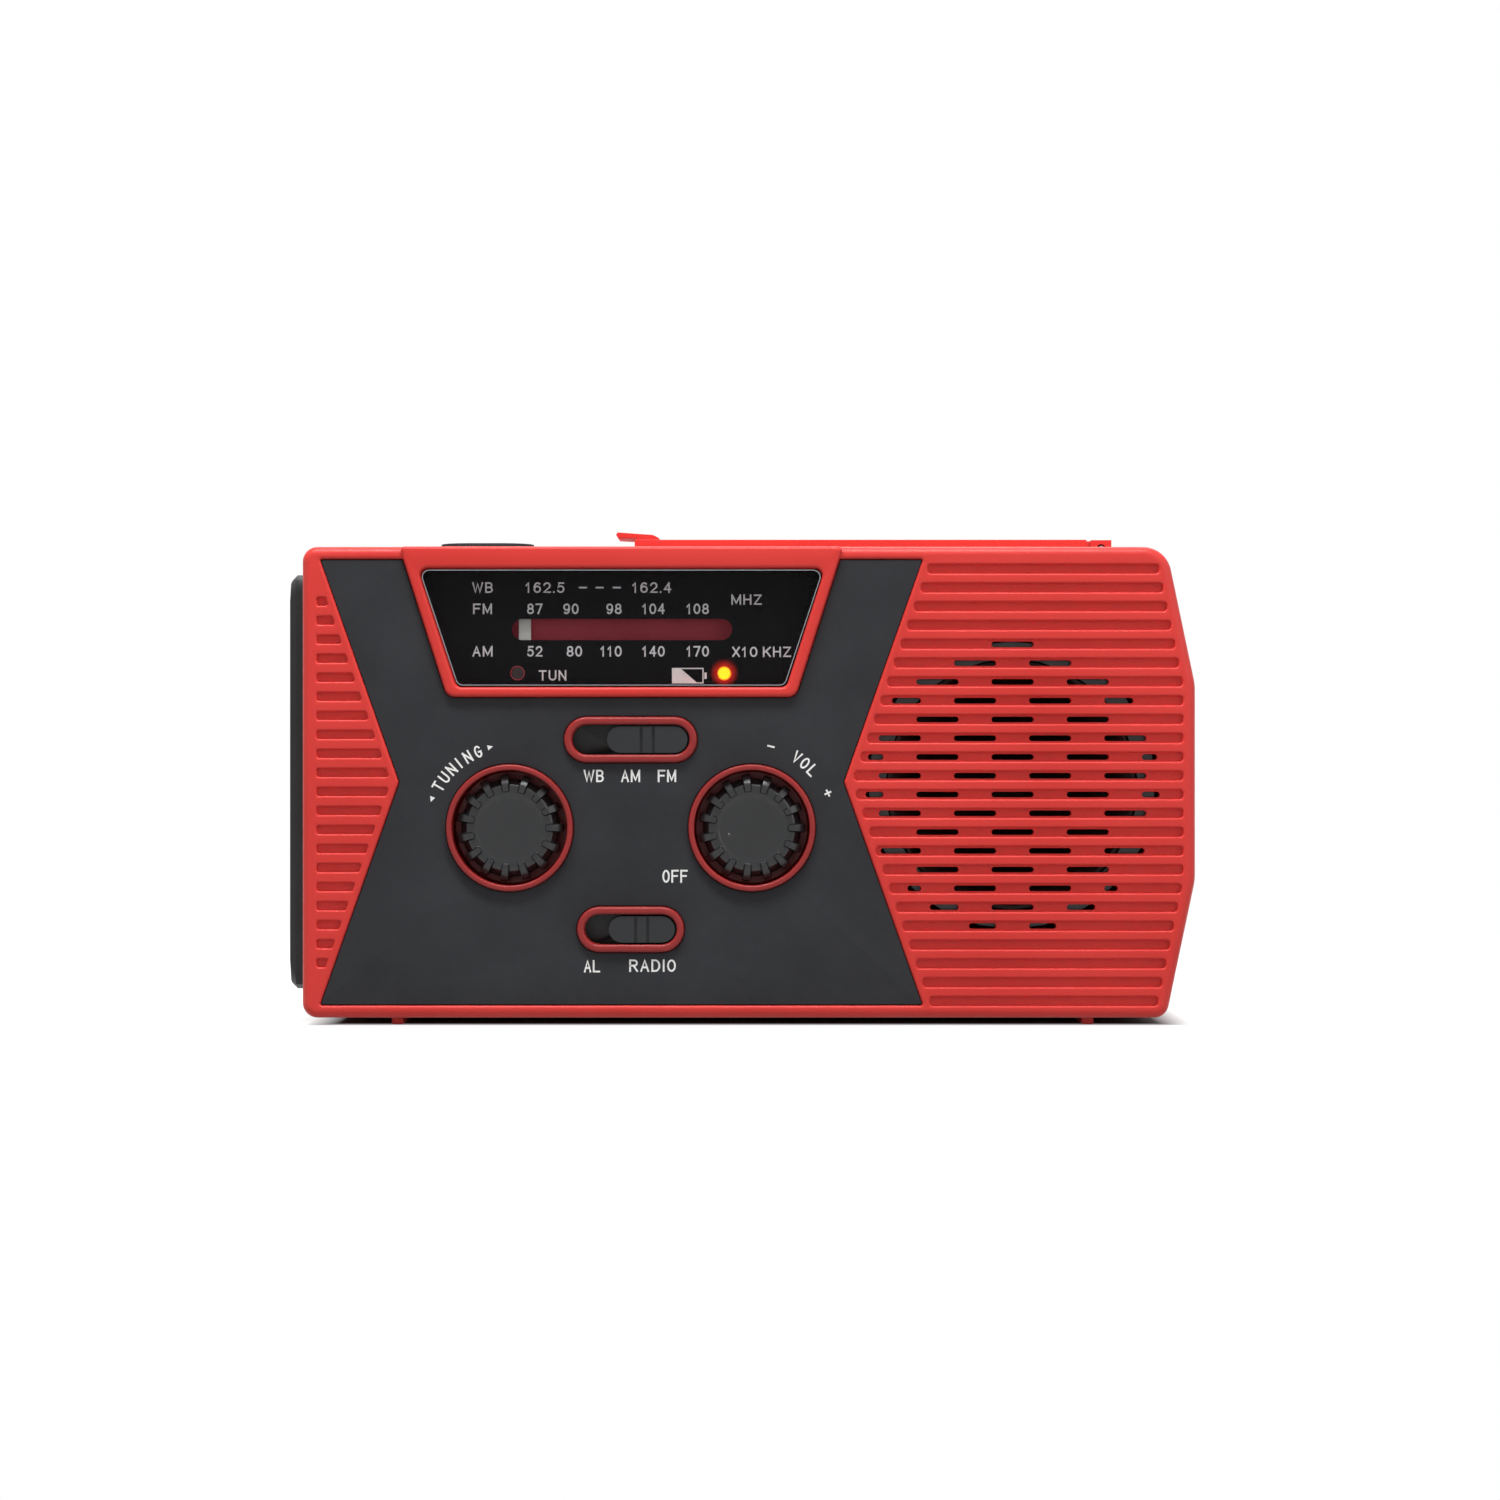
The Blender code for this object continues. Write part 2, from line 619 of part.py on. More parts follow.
LED_HOLE_RADIUS = 0.0013
DRUM_TURN = radians(270)
CORD_RADIUS = 0.0003
PULLEY_TURN_RADIUS = 0.0024
PULLEY_FLANGE = 0.0029
DRUM_FLANGE = 0.0083
GROOVE_HALF = 0.0007
PULLEY_X_GAP = 0.0425
MASK_FRONT = FRONT_WALL + SEAT_GAP
MASK_BACK = MASK_FRONT + MASK_THICKNESS
POINTER_FRONT = MASK_BACK + POINTER_GAP
BACKING_FRONT = POINTER_FRONT + POINTER_THICKNESS + SEAT_GAP * 2
BACKING_BACK = BACKING_FRONT + BACKING_THICKNESS
TAB_FRONT = BACKING_BACK + SEAT_GAP * 2
TAB_BACK = TAB_FRONT + POINTER_THICKNESS
CORD_Y = TAB_BACK + SEAT_GAP + CORD_RADIUS
SLOT_Z = TOP - DIAL_SLOT_DROP
TRACK_Z = SLOT_Z + TRACK_RISE
POINTER_X = PANEL_X - POINTER_TRAVEL / 2
DRUM_RADIUS = POINTER_TRAVEL / DRUM_TURN
LED_Z = TOP - LED_DROP
LED_PLACES = (PANEL_X - TUNING_LED_X, PANEL_X + CHARGE_LED_X)


def dial_window():
    front = WINDOW_SINK - FRAME_PROUD
    lens = plate("dial_window", [window_loop(-SEAT_GAP)], "front", (front, front + WINDOW_THICKNESS))
    finish(lens, BLACK, 0.08)


def dial_mask():
    loops = [window_loop(MASK_MARGIN)]
    loops.append(pill(PANEL_X, SLOT_Z, DIAL_SLOT_LENGTH, DIAL_SLOT_HEIGHT))
    loops += [circle(LED_HOLE_RADIUS, 12, (x, LED_Z)) for x in LED_PLACES]
    finish(plate("dial_mask", loops, "front", (MASK_FRONT, MASK_BACK)), BLACK, 0.5)


def dial_pointer():
    # A staple shape seen from the side: blade in front, bridge over the backing, tab behind it.
    blade_low = SLOT_Z - POINTER_BELOW
    bridge_low = TRACK_Z + TAB_ABOVE_CORD - POINTER_THICKNESS
    bridge_high = TRACK_Z + TAB_ABOVE_CORD
    tab_low = bridge_high - TAB_HEIGHT
    outline = [(POINTER_FRONT, blade_low), (POINTER_FRONT + POINTER_THICKNESS, blade_low)]
    outline += [(POINTER_FRONT + POINTER_THICKNESS, bridge_low), (TAB_FRONT, bridge_low)]
    outline += [(TAB_FRONT, tab_low), (TAB_BACK, tab_low), (TAB_BACK, bridge_high)]
    outline += [(POINTER_FRONT, bridge_high)]
    span = (POINTER_X - POINTER_WIDTH / 2, POINTER_X + POINTER_WIDTH / 2)
    finish(plate("dial_pointer", [outline], "side", span), WHITE, 0.4)


def dial_backing():
    left = PANEL_X - BACKING_HALF
    right = PANEL_X + BACKING_HALF
    flange_front = MASK_BACK + SEAT_GAP
    inner_left = left + FLANGE_THICKNESS
    inner_right = right - FLANGE_THICKNESS
    outline = [(left, flange_front), (inner_left, flange_front), (inner_left, BACKING_FRONT)]
    outline += [(inner_right, BACKING_FRONT), (inner_right, flange_front), (right, flange_front)]
    outline += [(right, BACKING_BACK), (left, BACKING_BACK)]
    high = TRACK_Z + TAB_ABOVE_CORD - POINTER_THICKNESS - SEAT_GAP
    backing = plate("dial_backing", [outline], "top", (SLOT_Z - BACKING_DROP, high))
    groove = PULLEY_TURN_RADIUS - CORD_RADIUS - SEAT_GAP
    rooted = BACKING_BACK - BACKING_THICKNESS / 2
    back = CORD_Y + 2 * GROOVE_HALF
    profile = [(0, rooted), (PULLEY_FLANGE, rooted), (PULLEY_FLANGE, CORD_Y - GROOVE_HALF)]
    profile += [(groove, CORD_Y - GROOVE_HALF), (groove, CORD_Y + GROOVE_HALF)]
    profile += [(PULLEY_FLANGE, CORD_Y + GROOVE_HALF), (PULLEY_FLANGE, back), (0, back)]
    unite(backing, *[turned("guide", profile, "front", place, 12) for place in guide_places()])
    finish(backing, DARK_RED, 0.6)


def guide_places():
    left = TUNING_X - DRUM_RADIUS + PULLEY_TURN_RADIUS
    high = TRACK_Z - PULLEY_TURN_RADIUS
    inner = TUNING_X + DRUM_RADIUS + PULLEY_TURN_RADIUS
    return [(left, high), (POINTER_X + PULLEY_X_GAP, high), (inner, high - 2 * PULLEY_TURN_RADIUS)]


def dial_cord():
    # The cord runs down to the drum, round it, up, and along the pointer's track and back.
    first, second, third = guide_places()
    turns = [((TUNING_X, KNOB_Z), DRUM_RADIUS, 0, -180, 12), (first, PULLEY_TURN_RADIUS, 180, 90, 4)]
    turns += [(second, PULLEY_TURN_RADIUS, 90, -90, 6), (third, PULLEY_TURN_RADIUS, 90, 180, 4)]
    curve = bpy.data.curves.new("dial_cord", "CURVE")
    curve.dimensions = "3D"
    curve.bevel_depth = CORD_RADIUS
    curve.bevel_resolution = 1
    points = []
    for centre, radius, start, end, steps in turns:
        for step in range(steps + 1):
            turn = radians(start + (end - start) * step / steps)
            points.append((centre[0] + radius * cos(turn), CORD_Y, centre[1] + radius * sin(turn)))
    spline = curve.splines.new("POLY")
    spline.points.add(len(points) - 1)
    for point, place in zip(spline.points, points):
        point.co = (*place, 1)
    spline.use_cyclic_u = True
    cord = new_object("dial_cord", curve, (0, 0, 0), (0, 0, 0))
    finish(cord, BLACK, 0.8)


# Knobs, drum, capacitor and volume control
KNOB_SINK = 0.0010
KNOB_RIB_SINK = 0.0004
KNOB_RADIUS = 0.0085
KNOB_FACE_RADIUS = 0.00745
KNOB_CHAMFER = 0.0010
KNOB_RIBS = 15
RIB_OUTER = 0.0091
RIB_INNER = 0.0062
RIB_WIDTH = 0.0014
KNOB_BACK_GAP = 0.0005
KNOB_BORE_DEPTH = 0.0030
CAPACITOR_SIZE = 0.0200
CAPACITOR_FRONT = 0.0110
VOLUME_CONTROL_RADIUS = 0.0082
KNOB_FACE = KNOB_SINK - RING_PROUD
KNOB_BACK = WELL_DEPTH - KNOB_BACK_GAP
SPINDLE_FRONT = KNOB_BACK - KNOB_BORE_DEPTH + SEAT_GAP
DRUM_FRONT = WELL_DEPTH + WELL_FLOOR + SEAT_GAP


def knob(name, x):
    bore_end = KNOB_BACK - KNOB_BORE_DEPTH
    bore = SPINDLE_RADIUS + SEAT_GAP
    profile = [(0, KNOB_FACE), (KNOB_FACE_RADIUS, KNOB_FACE), (KNOB_RADIUS, KNOB_FACE + KNOB_CHAMFER)]
    profile += [(KNOB_RADIUS, KNOB_BACK), (bore, KNOB_BACK), (bore, bore_end), (0, bore_end)]
    cap = turned(name, profile, "front", (x, KNOB_Z), 30)
    ribs = []
    for index in range(KNOB_RIBS):
        turn = 2 * pi * index / KNOB_RIBS
        along = Vector((cos(turn), sin(turn)))
        side = Vector((-sin(turn), cos(turn))) * (RIB_WIDTH / 2)
        corners = [along * RIB_INNER - side, along * RIB_OUTER - side]
        corners += [along * RIB_OUTER + side, along * RIB_INNER + side]
        span = (KNOB_RIB_SINK - RING_PROUD, KNOB_BACK - KNOB_CHAMFER)
        ribs.append(plate("rib", [[tuple(corner) for corner in corners]], "front", span, (x, KNOB_Z)))
    unite(cap, *ribs)
    finish(cap, BLACK, 0.32)


def dial_drum():
    groove = DRUM_RADIUS - CORD_RADIUS - SEAT_GAP
    back = 2 * CORD_Y - DRUM_FRONT
    profile = [(0, SPINDLE_FRONT), (SPINDLE_RADIUS, SPINDLE_FRONT), (SPINDLE_RADIUS, DRUM_FRONT)]
    profile += [(DRUM_FLANGE, DRUM_FRONT), (DRUM_FLANGE, CORD_Y - GROOVE_HALF)]
    profile += [(groove, CORD_Y - GROOVE_HALF), (groove, CORD_Y + GROOVE_HALF)]
    profile += [(DRUM_FLANGE, CORD_Y + GROOVE_HALF), (DRUM_FLANGE, back), (0, back)]
    finish(turned("dial_drum", profile, "front", (TUNING_X, KNOB_Z), 24), NYLON, 0.45)


def tuning_capacitor():
    half = CAPACITOR_SIZE / 2
    outline = box_loop(-half, half, -half, half, half / 5)
    span = (CAPACITOR_FRONT, BOARD_FRONT - SEAT_GAP)
    finish(plate("tuning_capacitor", [outline], "front", span, (TUNING_X, KNOB_Z)), NYLON, 0.35)


def volume_parts():
    span = (SPINDLE_FRONT, CAPACITOR_FRONT - SEAT_GAP)
    finish(rod("volume_shaft", SPINDLE_RADIUS, "front", (VOLUME_X, KNOB_Z), span), STEEL, 0.35, 1)
    span = (CAPACITOR_FRONT, BOARD_FRONT - SEAT_GAP)
    body = rod("volume_control", VOLUME_CONTROL_RADIUS, "front", (VOLUME_X, KNOB_Z), span, 20)
    finish(body, STEEL, 0.4, 1)


# Slide switches
CAP_SINK = 0.0004
BAND_CAP_LENGTH = 0.0140
FUNCTION_CAP_LENGTH = 0.0115
SLIDE_FLANGE_GAP = 0.0004
SLIDE_FLANGE_THICKNESS = 0.0010
SLIDE_FLANGE_HEIGHT = 0.0070
SLIDE_FLANGE_MARGIN = 0.0008
SLIDE_STEM = 0.0030
SWITCH_BODY_FRONT = 0.0105
SWITCH_BODY_HEIGHT = 0.0080
BAND_BODY_LENGTH = 0.0260
FUNCTION_BODY_LENGTH = 0.0210
CAP_BAR = 0.0016
CAP_EDGE = 0.0004
CAP_GROOVE = 0.0005
CAP_GROOVE_DEPTH = 0.0006
BAND_TRAVEL = BAND_OPENING - BAND_CAP_LENGTH - 2 * SEAT_GAP
FUNCTION_TRAVEL = FUNCTION_OPENING - FUNCTION_CAP_LENGTH - 2 * SEAT_GAP


def slide_switch(name, z, opening, cap_length, travel, body_length):
    x = CONTROL_X + travel / 2
    cap_front = CAP_SINK - RIM_PROUD
    flange_front = FRONT_WALL + SLIDE_FLANGE_GAP
    flange_back = flange_front + SLIDE_FLANGE_THICKNESS
    cap_loop = pill(0, 0, cap_length, SWITCH_OPENING_HEIGHT - 2 * SEAT_GAP)
    cap = plate(name + "_button", [cap_loop], "front", (cap_front, flange_back), (x, z))
    soften(cap, CAP_EDGE, 1, face=1)
    half_length = opening / 2 + travel / 2 + SLIDE_FLANGE_MARGIN
    half_height = SLIDE_FLANGE_HEIGHT / 2
    flange_loop = box_loop(-half_length, half_length, -half_height, half_height)
    flange = plate("flange", [flange_loop], "front", (flange_front, flange_back), (x, z))
    half_stem = SLIDE_STEM / 2
    stem_loop = box_loop(-half_stem, half_stem, -half_stem, half_stem)
    stem_start = (flange_front + flange_back) / 2
    stem = plate("stem", [stem_loop], "front", (stem_start, SWITCH_BODY_FRONT - SEAT_GAP), (x, z))
    unite(cap, flange)
    unite(cap, stem)
    grooves = []
    for side in (-1, 1):
        groove_x = x + side * (CAP_BAR + CAP_GROOVE) / 2
        across = (groove_x - CAP_GROOVE / 2, groove_x + CAP_GROOVE / 2)
        reach = SWITCH_OPENING_HEIGHT
        deep = (cap_front - OVERRUN, cap_front + CAP_GROOVE_DEPTH)
        grooves.append(block("groove", across, deep, (z - reach, z + reach)))
    cut(cap, *grooves, solver="MANIFOLD")
    finish(cap, BLACK, 0.35)
    half_body = body_length / 2
    half_tall = SWITCH_BODY_HEIGHT / 2
    loop = box_loop(-half_body, half_body, -half_tall, half_tall)
    span = (SWITCH_BODY_FRONT, BOARD_FRONT - SEAT_GAP)
    finish(plate(name + "_body", [loop], "front", span, (CONTROL_X, z)), STEEL, 0.4, 1)


# Speaker
SPEAKER_FLANGE = 0.0014
SPEAKER_DEPTH = 0.0110
BASKET_WALL = 0.0010
SPEAKER_SEAT = 0.0220
BASKET_BACK_RADIUS = 0.0140
MAGNET_THICKNESS = 0.0065
CONE_THICKNESS = 0.0006
CONE_NECK = 0.0070


def speaker():
    at = (SPEAKER_X, GRILLE_Z)
    front = FRONT_WALL + SEAT_GAP
    back = front + SPEAKER_DEPTH
    profile = [(0, back - BASKET_WALL), (BASKET_BACK_RADIUS - BASKET_WALL, back - BASKET_WALL)]
    profile += [(SPEAKER_SEAT, front + SPEAKER_FLANGE), (SPEAKER_SEAT, front), (SPEAKER_RADIUS, front)]
    profile += [(SPEAKER_RADIUS, front + SPEAKER_FLANGE)]
    profile += [(SPEAKER_SEAT + BASKET_WALL, front + SPEAKER_FLANGE), (BASKET_BACK_RADIUS, back), (0, back)]
    finish(turned("speaker_frame", profile, "front", at, 28), STEEL, 0.45, 1)
    rim = SPEAKER_SEAT - SEAT_GAP
    cone_back = back - BASKET_WALL - 2 * SEAT_GAP
    low = cone_back - CONE_THICKNESS
    dome = cone_back - (cone_back - front) / 3
    profile = [(0, dome), (CONE_NECK / 2, dome + CONE_THICKNESS), (CONE_NECK, low)]
    profile += [(rim - CONE_THICKNESS, front + CONE_THICKNESS), (rim, front + CONE_THICKNESS)]
    profile += [(rim, front + 2 * CONE_THICKNESS), (CONE_NECK + CONE_THICKNESS, cone_back), (0, cone_back)]
    finish(turned("speaker_cone", profile, "front", at, 28), CHARCOAL, 0.8)
    span = (back + SEAT_GAP, back + SEAT_GAP + MAGNET_THICKNESS)
    finish(rod("speaker_magnet", BASKET_BACK_RADIUS, "front", at, span, 24), STEEL, 0.5, 1)


# Main board, lights, ferrite rod
FERRITE_RADIUS = 0.0038
FERRITE_LENGTH = 0.0360
FERRITE_COIL_RADIUS = 0.0050
FERRITE_COIL_LENGTH = 0.0160
FERRITE_DROP = 0.0165
FERRITE_LEFT = 0.0110


def main_board():
    right = BOARD_LEFT + BOARD_WIDTH
    loop = box_loop(BOARD_LEFT, right, BOARD_BOTTOM, BOARD_BOTTOM + BOARD_HEIGHT)
    span = (BOARD_FRONT, BOARD_FRONT + BOARD_THICKNESS)
    finish(plate("main_board", [loop], "front", span), BOARD_GREEN, 0.4)
    for name, x, colour in (("tuning_led", LED_PLACES[0], DARK_RED), ("charge_led", LED_PLACES[1], BRASS)):
        span = (MASK_BACK + SEAT_GAP, BOARD_FRONT - SEAT_GAP)
        finish(rod(name, LED_RADIUS, "front", (x, LED_Z), span, 12), colour, 0.2)


def ferrite():
    y = BOARD_FRONT + BOARD_THICKNESS + SEAT_GAP + FERRITE_COIL_RADIUS
    at = (y, TOP - FERRITE_DROP)
    start = LEFT + FERRITE_LEFT
    middle = start + FERRITE_LENGTH / 2
    rod_span = (start, start + FERRITE_LENGTH)
    finish(rod("ferrite_rod", FERRITE_RADIUS, "side", at, rod_span, 12), CHARCOAL, 0.6)
    coil_span = (middle - FERRITE_COIL_LENGTH / 2, middle + FERRITE_COIL_LENGTH / 2)
    inner = FERRITE_RADIUS + SEAT_GAP
    finish(ring("ferrite_coil", FERRITE_COIL_RADIUS, inner, "side", at, coil_span, 16), COPPER, 0.4, 1)


# Solar lid, its tray and the reading lamp under it
TRAY_DEPTH = 0.0055
HINGE_PIN_RADIUS = 0.0005
HINGE_BORE_RADIUS = 0.0008
HINGE_DROP = 0.0015
EAR_HALF = HINGE_DROP + SEAT_GAP
EAR_WIDTH = 0.0025
EAR_INSET = 0.0002
TRAY_END_WALL = 0.0006
EAR_RISE = 0.0030
LID_EAR_GAP = 0.0005
LID_NOTCH = 0.0027
TAB_WIDTH = 0.0120
TAB_REACH = 0.0036
TAB_RISE = 0.0035
TAB_THICKNESS = 0.0009
TAB_ROOT = 0.0048
CELL_MARGIN = 0.0030
CELL_THICKNESS = 0.0006
LAMP_LENGTH = 0.0560
LAMP_WIDTH = 0.0160
LAMP_THICKNESS = 0.0017
LAMP_EDGE = 0.0005
WELL_MARGIN = 0.0020
LID_BOTTOM = TOP + SEAT_GAP
LID_TOP = LID_BOTTOM + LID_THICKNESS
LID_BACK = LID_FRONT + LID_WIDTH
LID_MIDDLE_Y = LID_FRONT + LID_WIDTH / 2
HINGE_X = LID_END - LID_KNUCKLE_RADIUS
HINGE_Z = LID_TOP - HINGE_DROP
TRAY_LEFT = LID_START + LID_OVERLAP
TRAY_RIGHT = HINGE_X + EAR_HALF + TRAY_END_WALL
TRAY_FRONT = LID_FRONT + LID_OVERLAP
TRAY_BACK = LID_BACK - LID_OVERLAP
LAMP_X = (LID_START + HINGE_X) / 2
LAMP_BOTTOM = LID_BOTTOM - SEAT_GAP - LAMP_THICKNESS


def tray_opening():
    across = (TRAY_LEFT - SEAT_GAP, TRAY_RIGHT + SEAT_GAP)
    deep = (TRAY_FRONT - SEAT_GAP, TRAY_BACK + SEAT_GAP)
    return block("tray_opening", across, deep, (TOP - SIDE_WALL - OVERRUN, TOP + OVERRUN))


def ear_spans():
    front = TRAY_FRONT + EAR_INSET
    back = TRAY_BACK - EAR_INSET
    return [(front, front + EAR_WIDTH), (back - EAR_WIDTH, back)]


def lid_tray():
    outline = box_loop(TRAY_LEFT, TRAY_RIGHT, TRAY_FRONT, TRAY_BACK)
    tray = plate("lid_tray", [outline], "top", (TOP - TRAY_DEPTH, TOP))
    spans = ear_spans()
    groove_span = (spans[0][1] - EAR_WIDTH / 2, spans[1][0] + EAR_WIDTH / 2)
    cut(tray, rod("groove", EAR_HALF, "front", (HINGE_X, HINGE_Z), groove_span, 24))
    ears = []
    for deep in spans:
        across = (HINGE_X - EAR_HALF, HINGE_X + EAR_HALF)
        ears.append(block("ear", across, deep, (TOP - EAR_RISE, LID_TOP)))
    unite(tray, *ears)
    half_length = LAMP_LENGTH / 2 + WELL_MARGIN
    half_width = LAMP_WIDTH / 2 + WELL_MARGIN
    across = (LAMP_X - half_length, LAMP_X + half_length)
    deep = (LID_MIDDLE_Y - half_width, LID_MIDDLE_Y + half_width)
    pocket = block("pocket", across, deep, (LAMP_BOTTOM - SEAT_GAP, TOP + OVERRUN))
    span = (TRAY_FRONT - OVERRUN, TRAY_BACK + OVERRUN)
    bore = rod("bore", HINGE_BORE_RADIUS, "front", (HINGE_X, HINGE_Z), span, 12)
    cut(tray, pocket, bore)
    finish(tray, RED, 0.45)


def solar_lid():
    ears = ear_spans()
    barrel = (ears[0][1] + LID_EAR_GAP, ears[1][0] - LID_EAR_GAP)
    notch = -LID_NOTCH
    start = LID_START - HINGE_X
    deep_front = LID_FRONT - LID_MIDDLE_Y
    outline = [(start, deep_front), (notch, deep_front), (notch, barrel[0] - LID_MIDDLE_Y)]
    outline += [(0, barrel[0] - LID_MIDDLE_Y), (0, barrel[1] - LID_MIDDLE_Y)]
    outline += [(notch, barrel[1] - LID_MIDDLE_Y), (notch, -deep_front), (start, -deep_front)]
    lid = plate("solar_lid", [outline], "top", (LID_BOTTOM, LID_TOP), (HINGE_X, LID_MIDDLE_Y))
    knuckle = rod("knuckle", LID_KNUCKLE_RADIUS, "front", (HINGE_X, HINGE_Z), barrel, 16)
    tip = LID_START - TAB_REACH
    crest = TOP + TAB_RISE
    root = LID_START + TAB_ROOT
    lid_inside = (LID_BOTTOM + LID_TOP) / 2
    hook = [(LID_START, lid_inside), (root, lid_inside), (root, LID_TOP)]
    hook += [(root - TAB_THICKNESS, LID_TOP + TAB_THICKNESS)]
    hook += [(root - 2 * TAB_THICKNESS, crest - TAB_THICKNESS / 2)]
    hook += [(tip + TAB_THICKNESS / 3, crest), (tip, crest - TAB_THICKNESS / 2)]
    hook += [(tip + TAB_THICKNESS / 3, crest - TAB_THICKNESS), (LID_START, crest - 1.2 * TAB_THICKNESS)]
    deep = (LID_MIDDLE_Y - TAB_WIDTH / 2, LID_MIDDLE_Y + TAB_WIDTH / 2)
    finger_tab = plate("finger_tab", [hook], "front", deep)
    unite(lid, knuckle)
    unite(lid, finger_tab)
    bore = rod("bore", HINGE_BORE_RADIUS, "front", (HINGE_X, HINGE_Z), (LID_FRONT, LID_BACK), 12)
    left, right, front, back = cell_edges(0)
    sunk = block("sunk", (left, right), (front, back), (LID_TOP - CELL_THICKNESS, LID_TOP + TAB_RISE))
    cut(lid, bore, sunk)
    finish(lid, RED, 0.42)
    pin_span = (TRAY_FRONT + EAR_INSET, TRAY_BACK - EAR_INSET)
    pin = rod("lid_hinge_pin", HINGE_PIN_RADIUS, "front", (HINGE_X, HINGE_Z), pin_span, 10)
    finish(pin, STEEL, 0.3, 1)


def cell_edges(inset):
    left = LID_START + TAB_ROOT + CELL_MARGIN + inset
    right = HINGE_X - LID_NOTCH - CELL_MARGIN - inset
    return left, right, LID_FRONT + CELL_MARGIN + inset, LID_BACK - CELL_MARGIN - inset


def lid_fittings():
    left, right, front, back = cell_edges(SEAT_GAP)
    loop = box_loop(left, right, front, back)
    cell = plate("solar_cell", [loop], "top", (LID_TOP - CELL_THICKNESS + SEAT_GAP, LID_TOP))
    finish(cell, BLACK, 0.15)
    half_length = LAMP_LENGTH / 2
    half_width = LAMP_WIDTH / 2
    deep = (LID_MIDDLE_Y - half_width, LID_MIDDLE_Y + half_width)
    loop = box_loop(LAMP_X - half_length, LAMP_X + half_length, *deep, half_width / 4)
    lamp = plate("reading_lamp", [loop], "top", (LAMP_BOTTOM, LID_BOTTOM - SEAT_GAP))
    soften(lamp, LAMP_EDGE, 1, face=-1)
    finish(lamp, WHITE, 0.4)


# Push button on top
BUTTON_PROUD = 0.0010
BUTTON_TRAVEL = 0.0010
BUTTON_EDGE = 0.0005
BUTTON_FLANGE_MARGIN = 0.0012
BUTTON_FLANGE_THICKNESS = 0.0010
BUTTON_STEM = 0.0015
BUTTON_SWITCH_SIZE = 0.0062
BUTTON_SWITCH_TOP_DROP = 0.0131
BUTTON_SWITCH_TALL = 0.0080


def top_button():
    at = (BUTTON_X, BUTTON_Y)
    flange_top = TOP - SIDE_WALL - SEAT_GAP
    flange_low = flange_top - BUTTON_FLANGE_THICKNESS
    clear = 2 * SEAT_GAP
    cap_loop = pill(0, 0, BUTTON_LENGTH - clear, BUTTON_WIDTH - clear, 4)
    button = plate("top_button", [cap_loop], "top", (flange_low, TOP + BUTTON_PROUD), at)
    soften(button, BUTTON_EDGE, 2, face=1)
    grow = 2 * BUTTON_FLANGE_MARGIN
    flange_loop = pill(0, 0, BUTTON_LENGTH + grow, BUTTON_WIDTH + grow, 4)
    flange_middle = (flange_low + flange_top) / 2
    flange = plate("flange", [flange_loop], "top", (flange_low - SEAT_GAP, flange_top), at)
    switch_top = TOP - BUTTON_SWITCH_TOP_DROP
    stem_low = switch_top + BUTTON_TRAVEL + SEAT_GAP
    stem = rod("stem", BUTTON_STEM, "top", at, (stem_low, flange_middle), 10)
    unite(button, flange)
    unite(button, stem)
    finish(button, BLACK, 0.6)
    half = BUTTON_SWITCH_SIZE / 2
    back = BOARD_FRONT - SEAT_GAP
    across = (BUTTON_X - half, BUTTON_X + half)
    body = block("top_button_switch", across, (back - BUTTON_SWITCH_SIZE, back),
                 (switch_top - BUTTON_SWITCH_TALL, switch_top))
    finish(body, BLACK, 0.5)


# Torch in the left end
TORCH_RIM = 0.0023
BEZEL_BACK_INSET = 0.0074
BEZEL_END_INSET = 0.0045
BEZEL_CORNER = 0.0030
BEZEL_EDGE = 0.0010
LENS_SINK = 0.0006
LENS_THICKNESS = 0.0012
REFLECTOR_DEPTH = 0.0120
REFLECTOR_WALL = 0.0009
REFLECTOR_NECK_SHARE = 0.07
TORCH_LED_RADIUS = 0.0022
TORCH_LED_LENGTH = 0.0030
TORCH_BASE_RADIUS = 0.0080
TORCH_BASE_THICKNESS = 0.0016
BEZEL_FRONT = BACK - BEZEL_BACK_INSET - 2 * (TORCH_RADIUS + TORCH_RIM)
TORCH_AT = ((BEZEL_FRONT + BACK - BEZEL_BACK_INSET) / 2, MIDDLE)


def torch_opening():
    span = (LEFT - OVERRUN, LEFT + SIDE_WALL + OVERRUN)
    return rod("torch_opening", TORCH_RADIUS + SEAT_GAP, "side", TORCH_AT, span, 36)


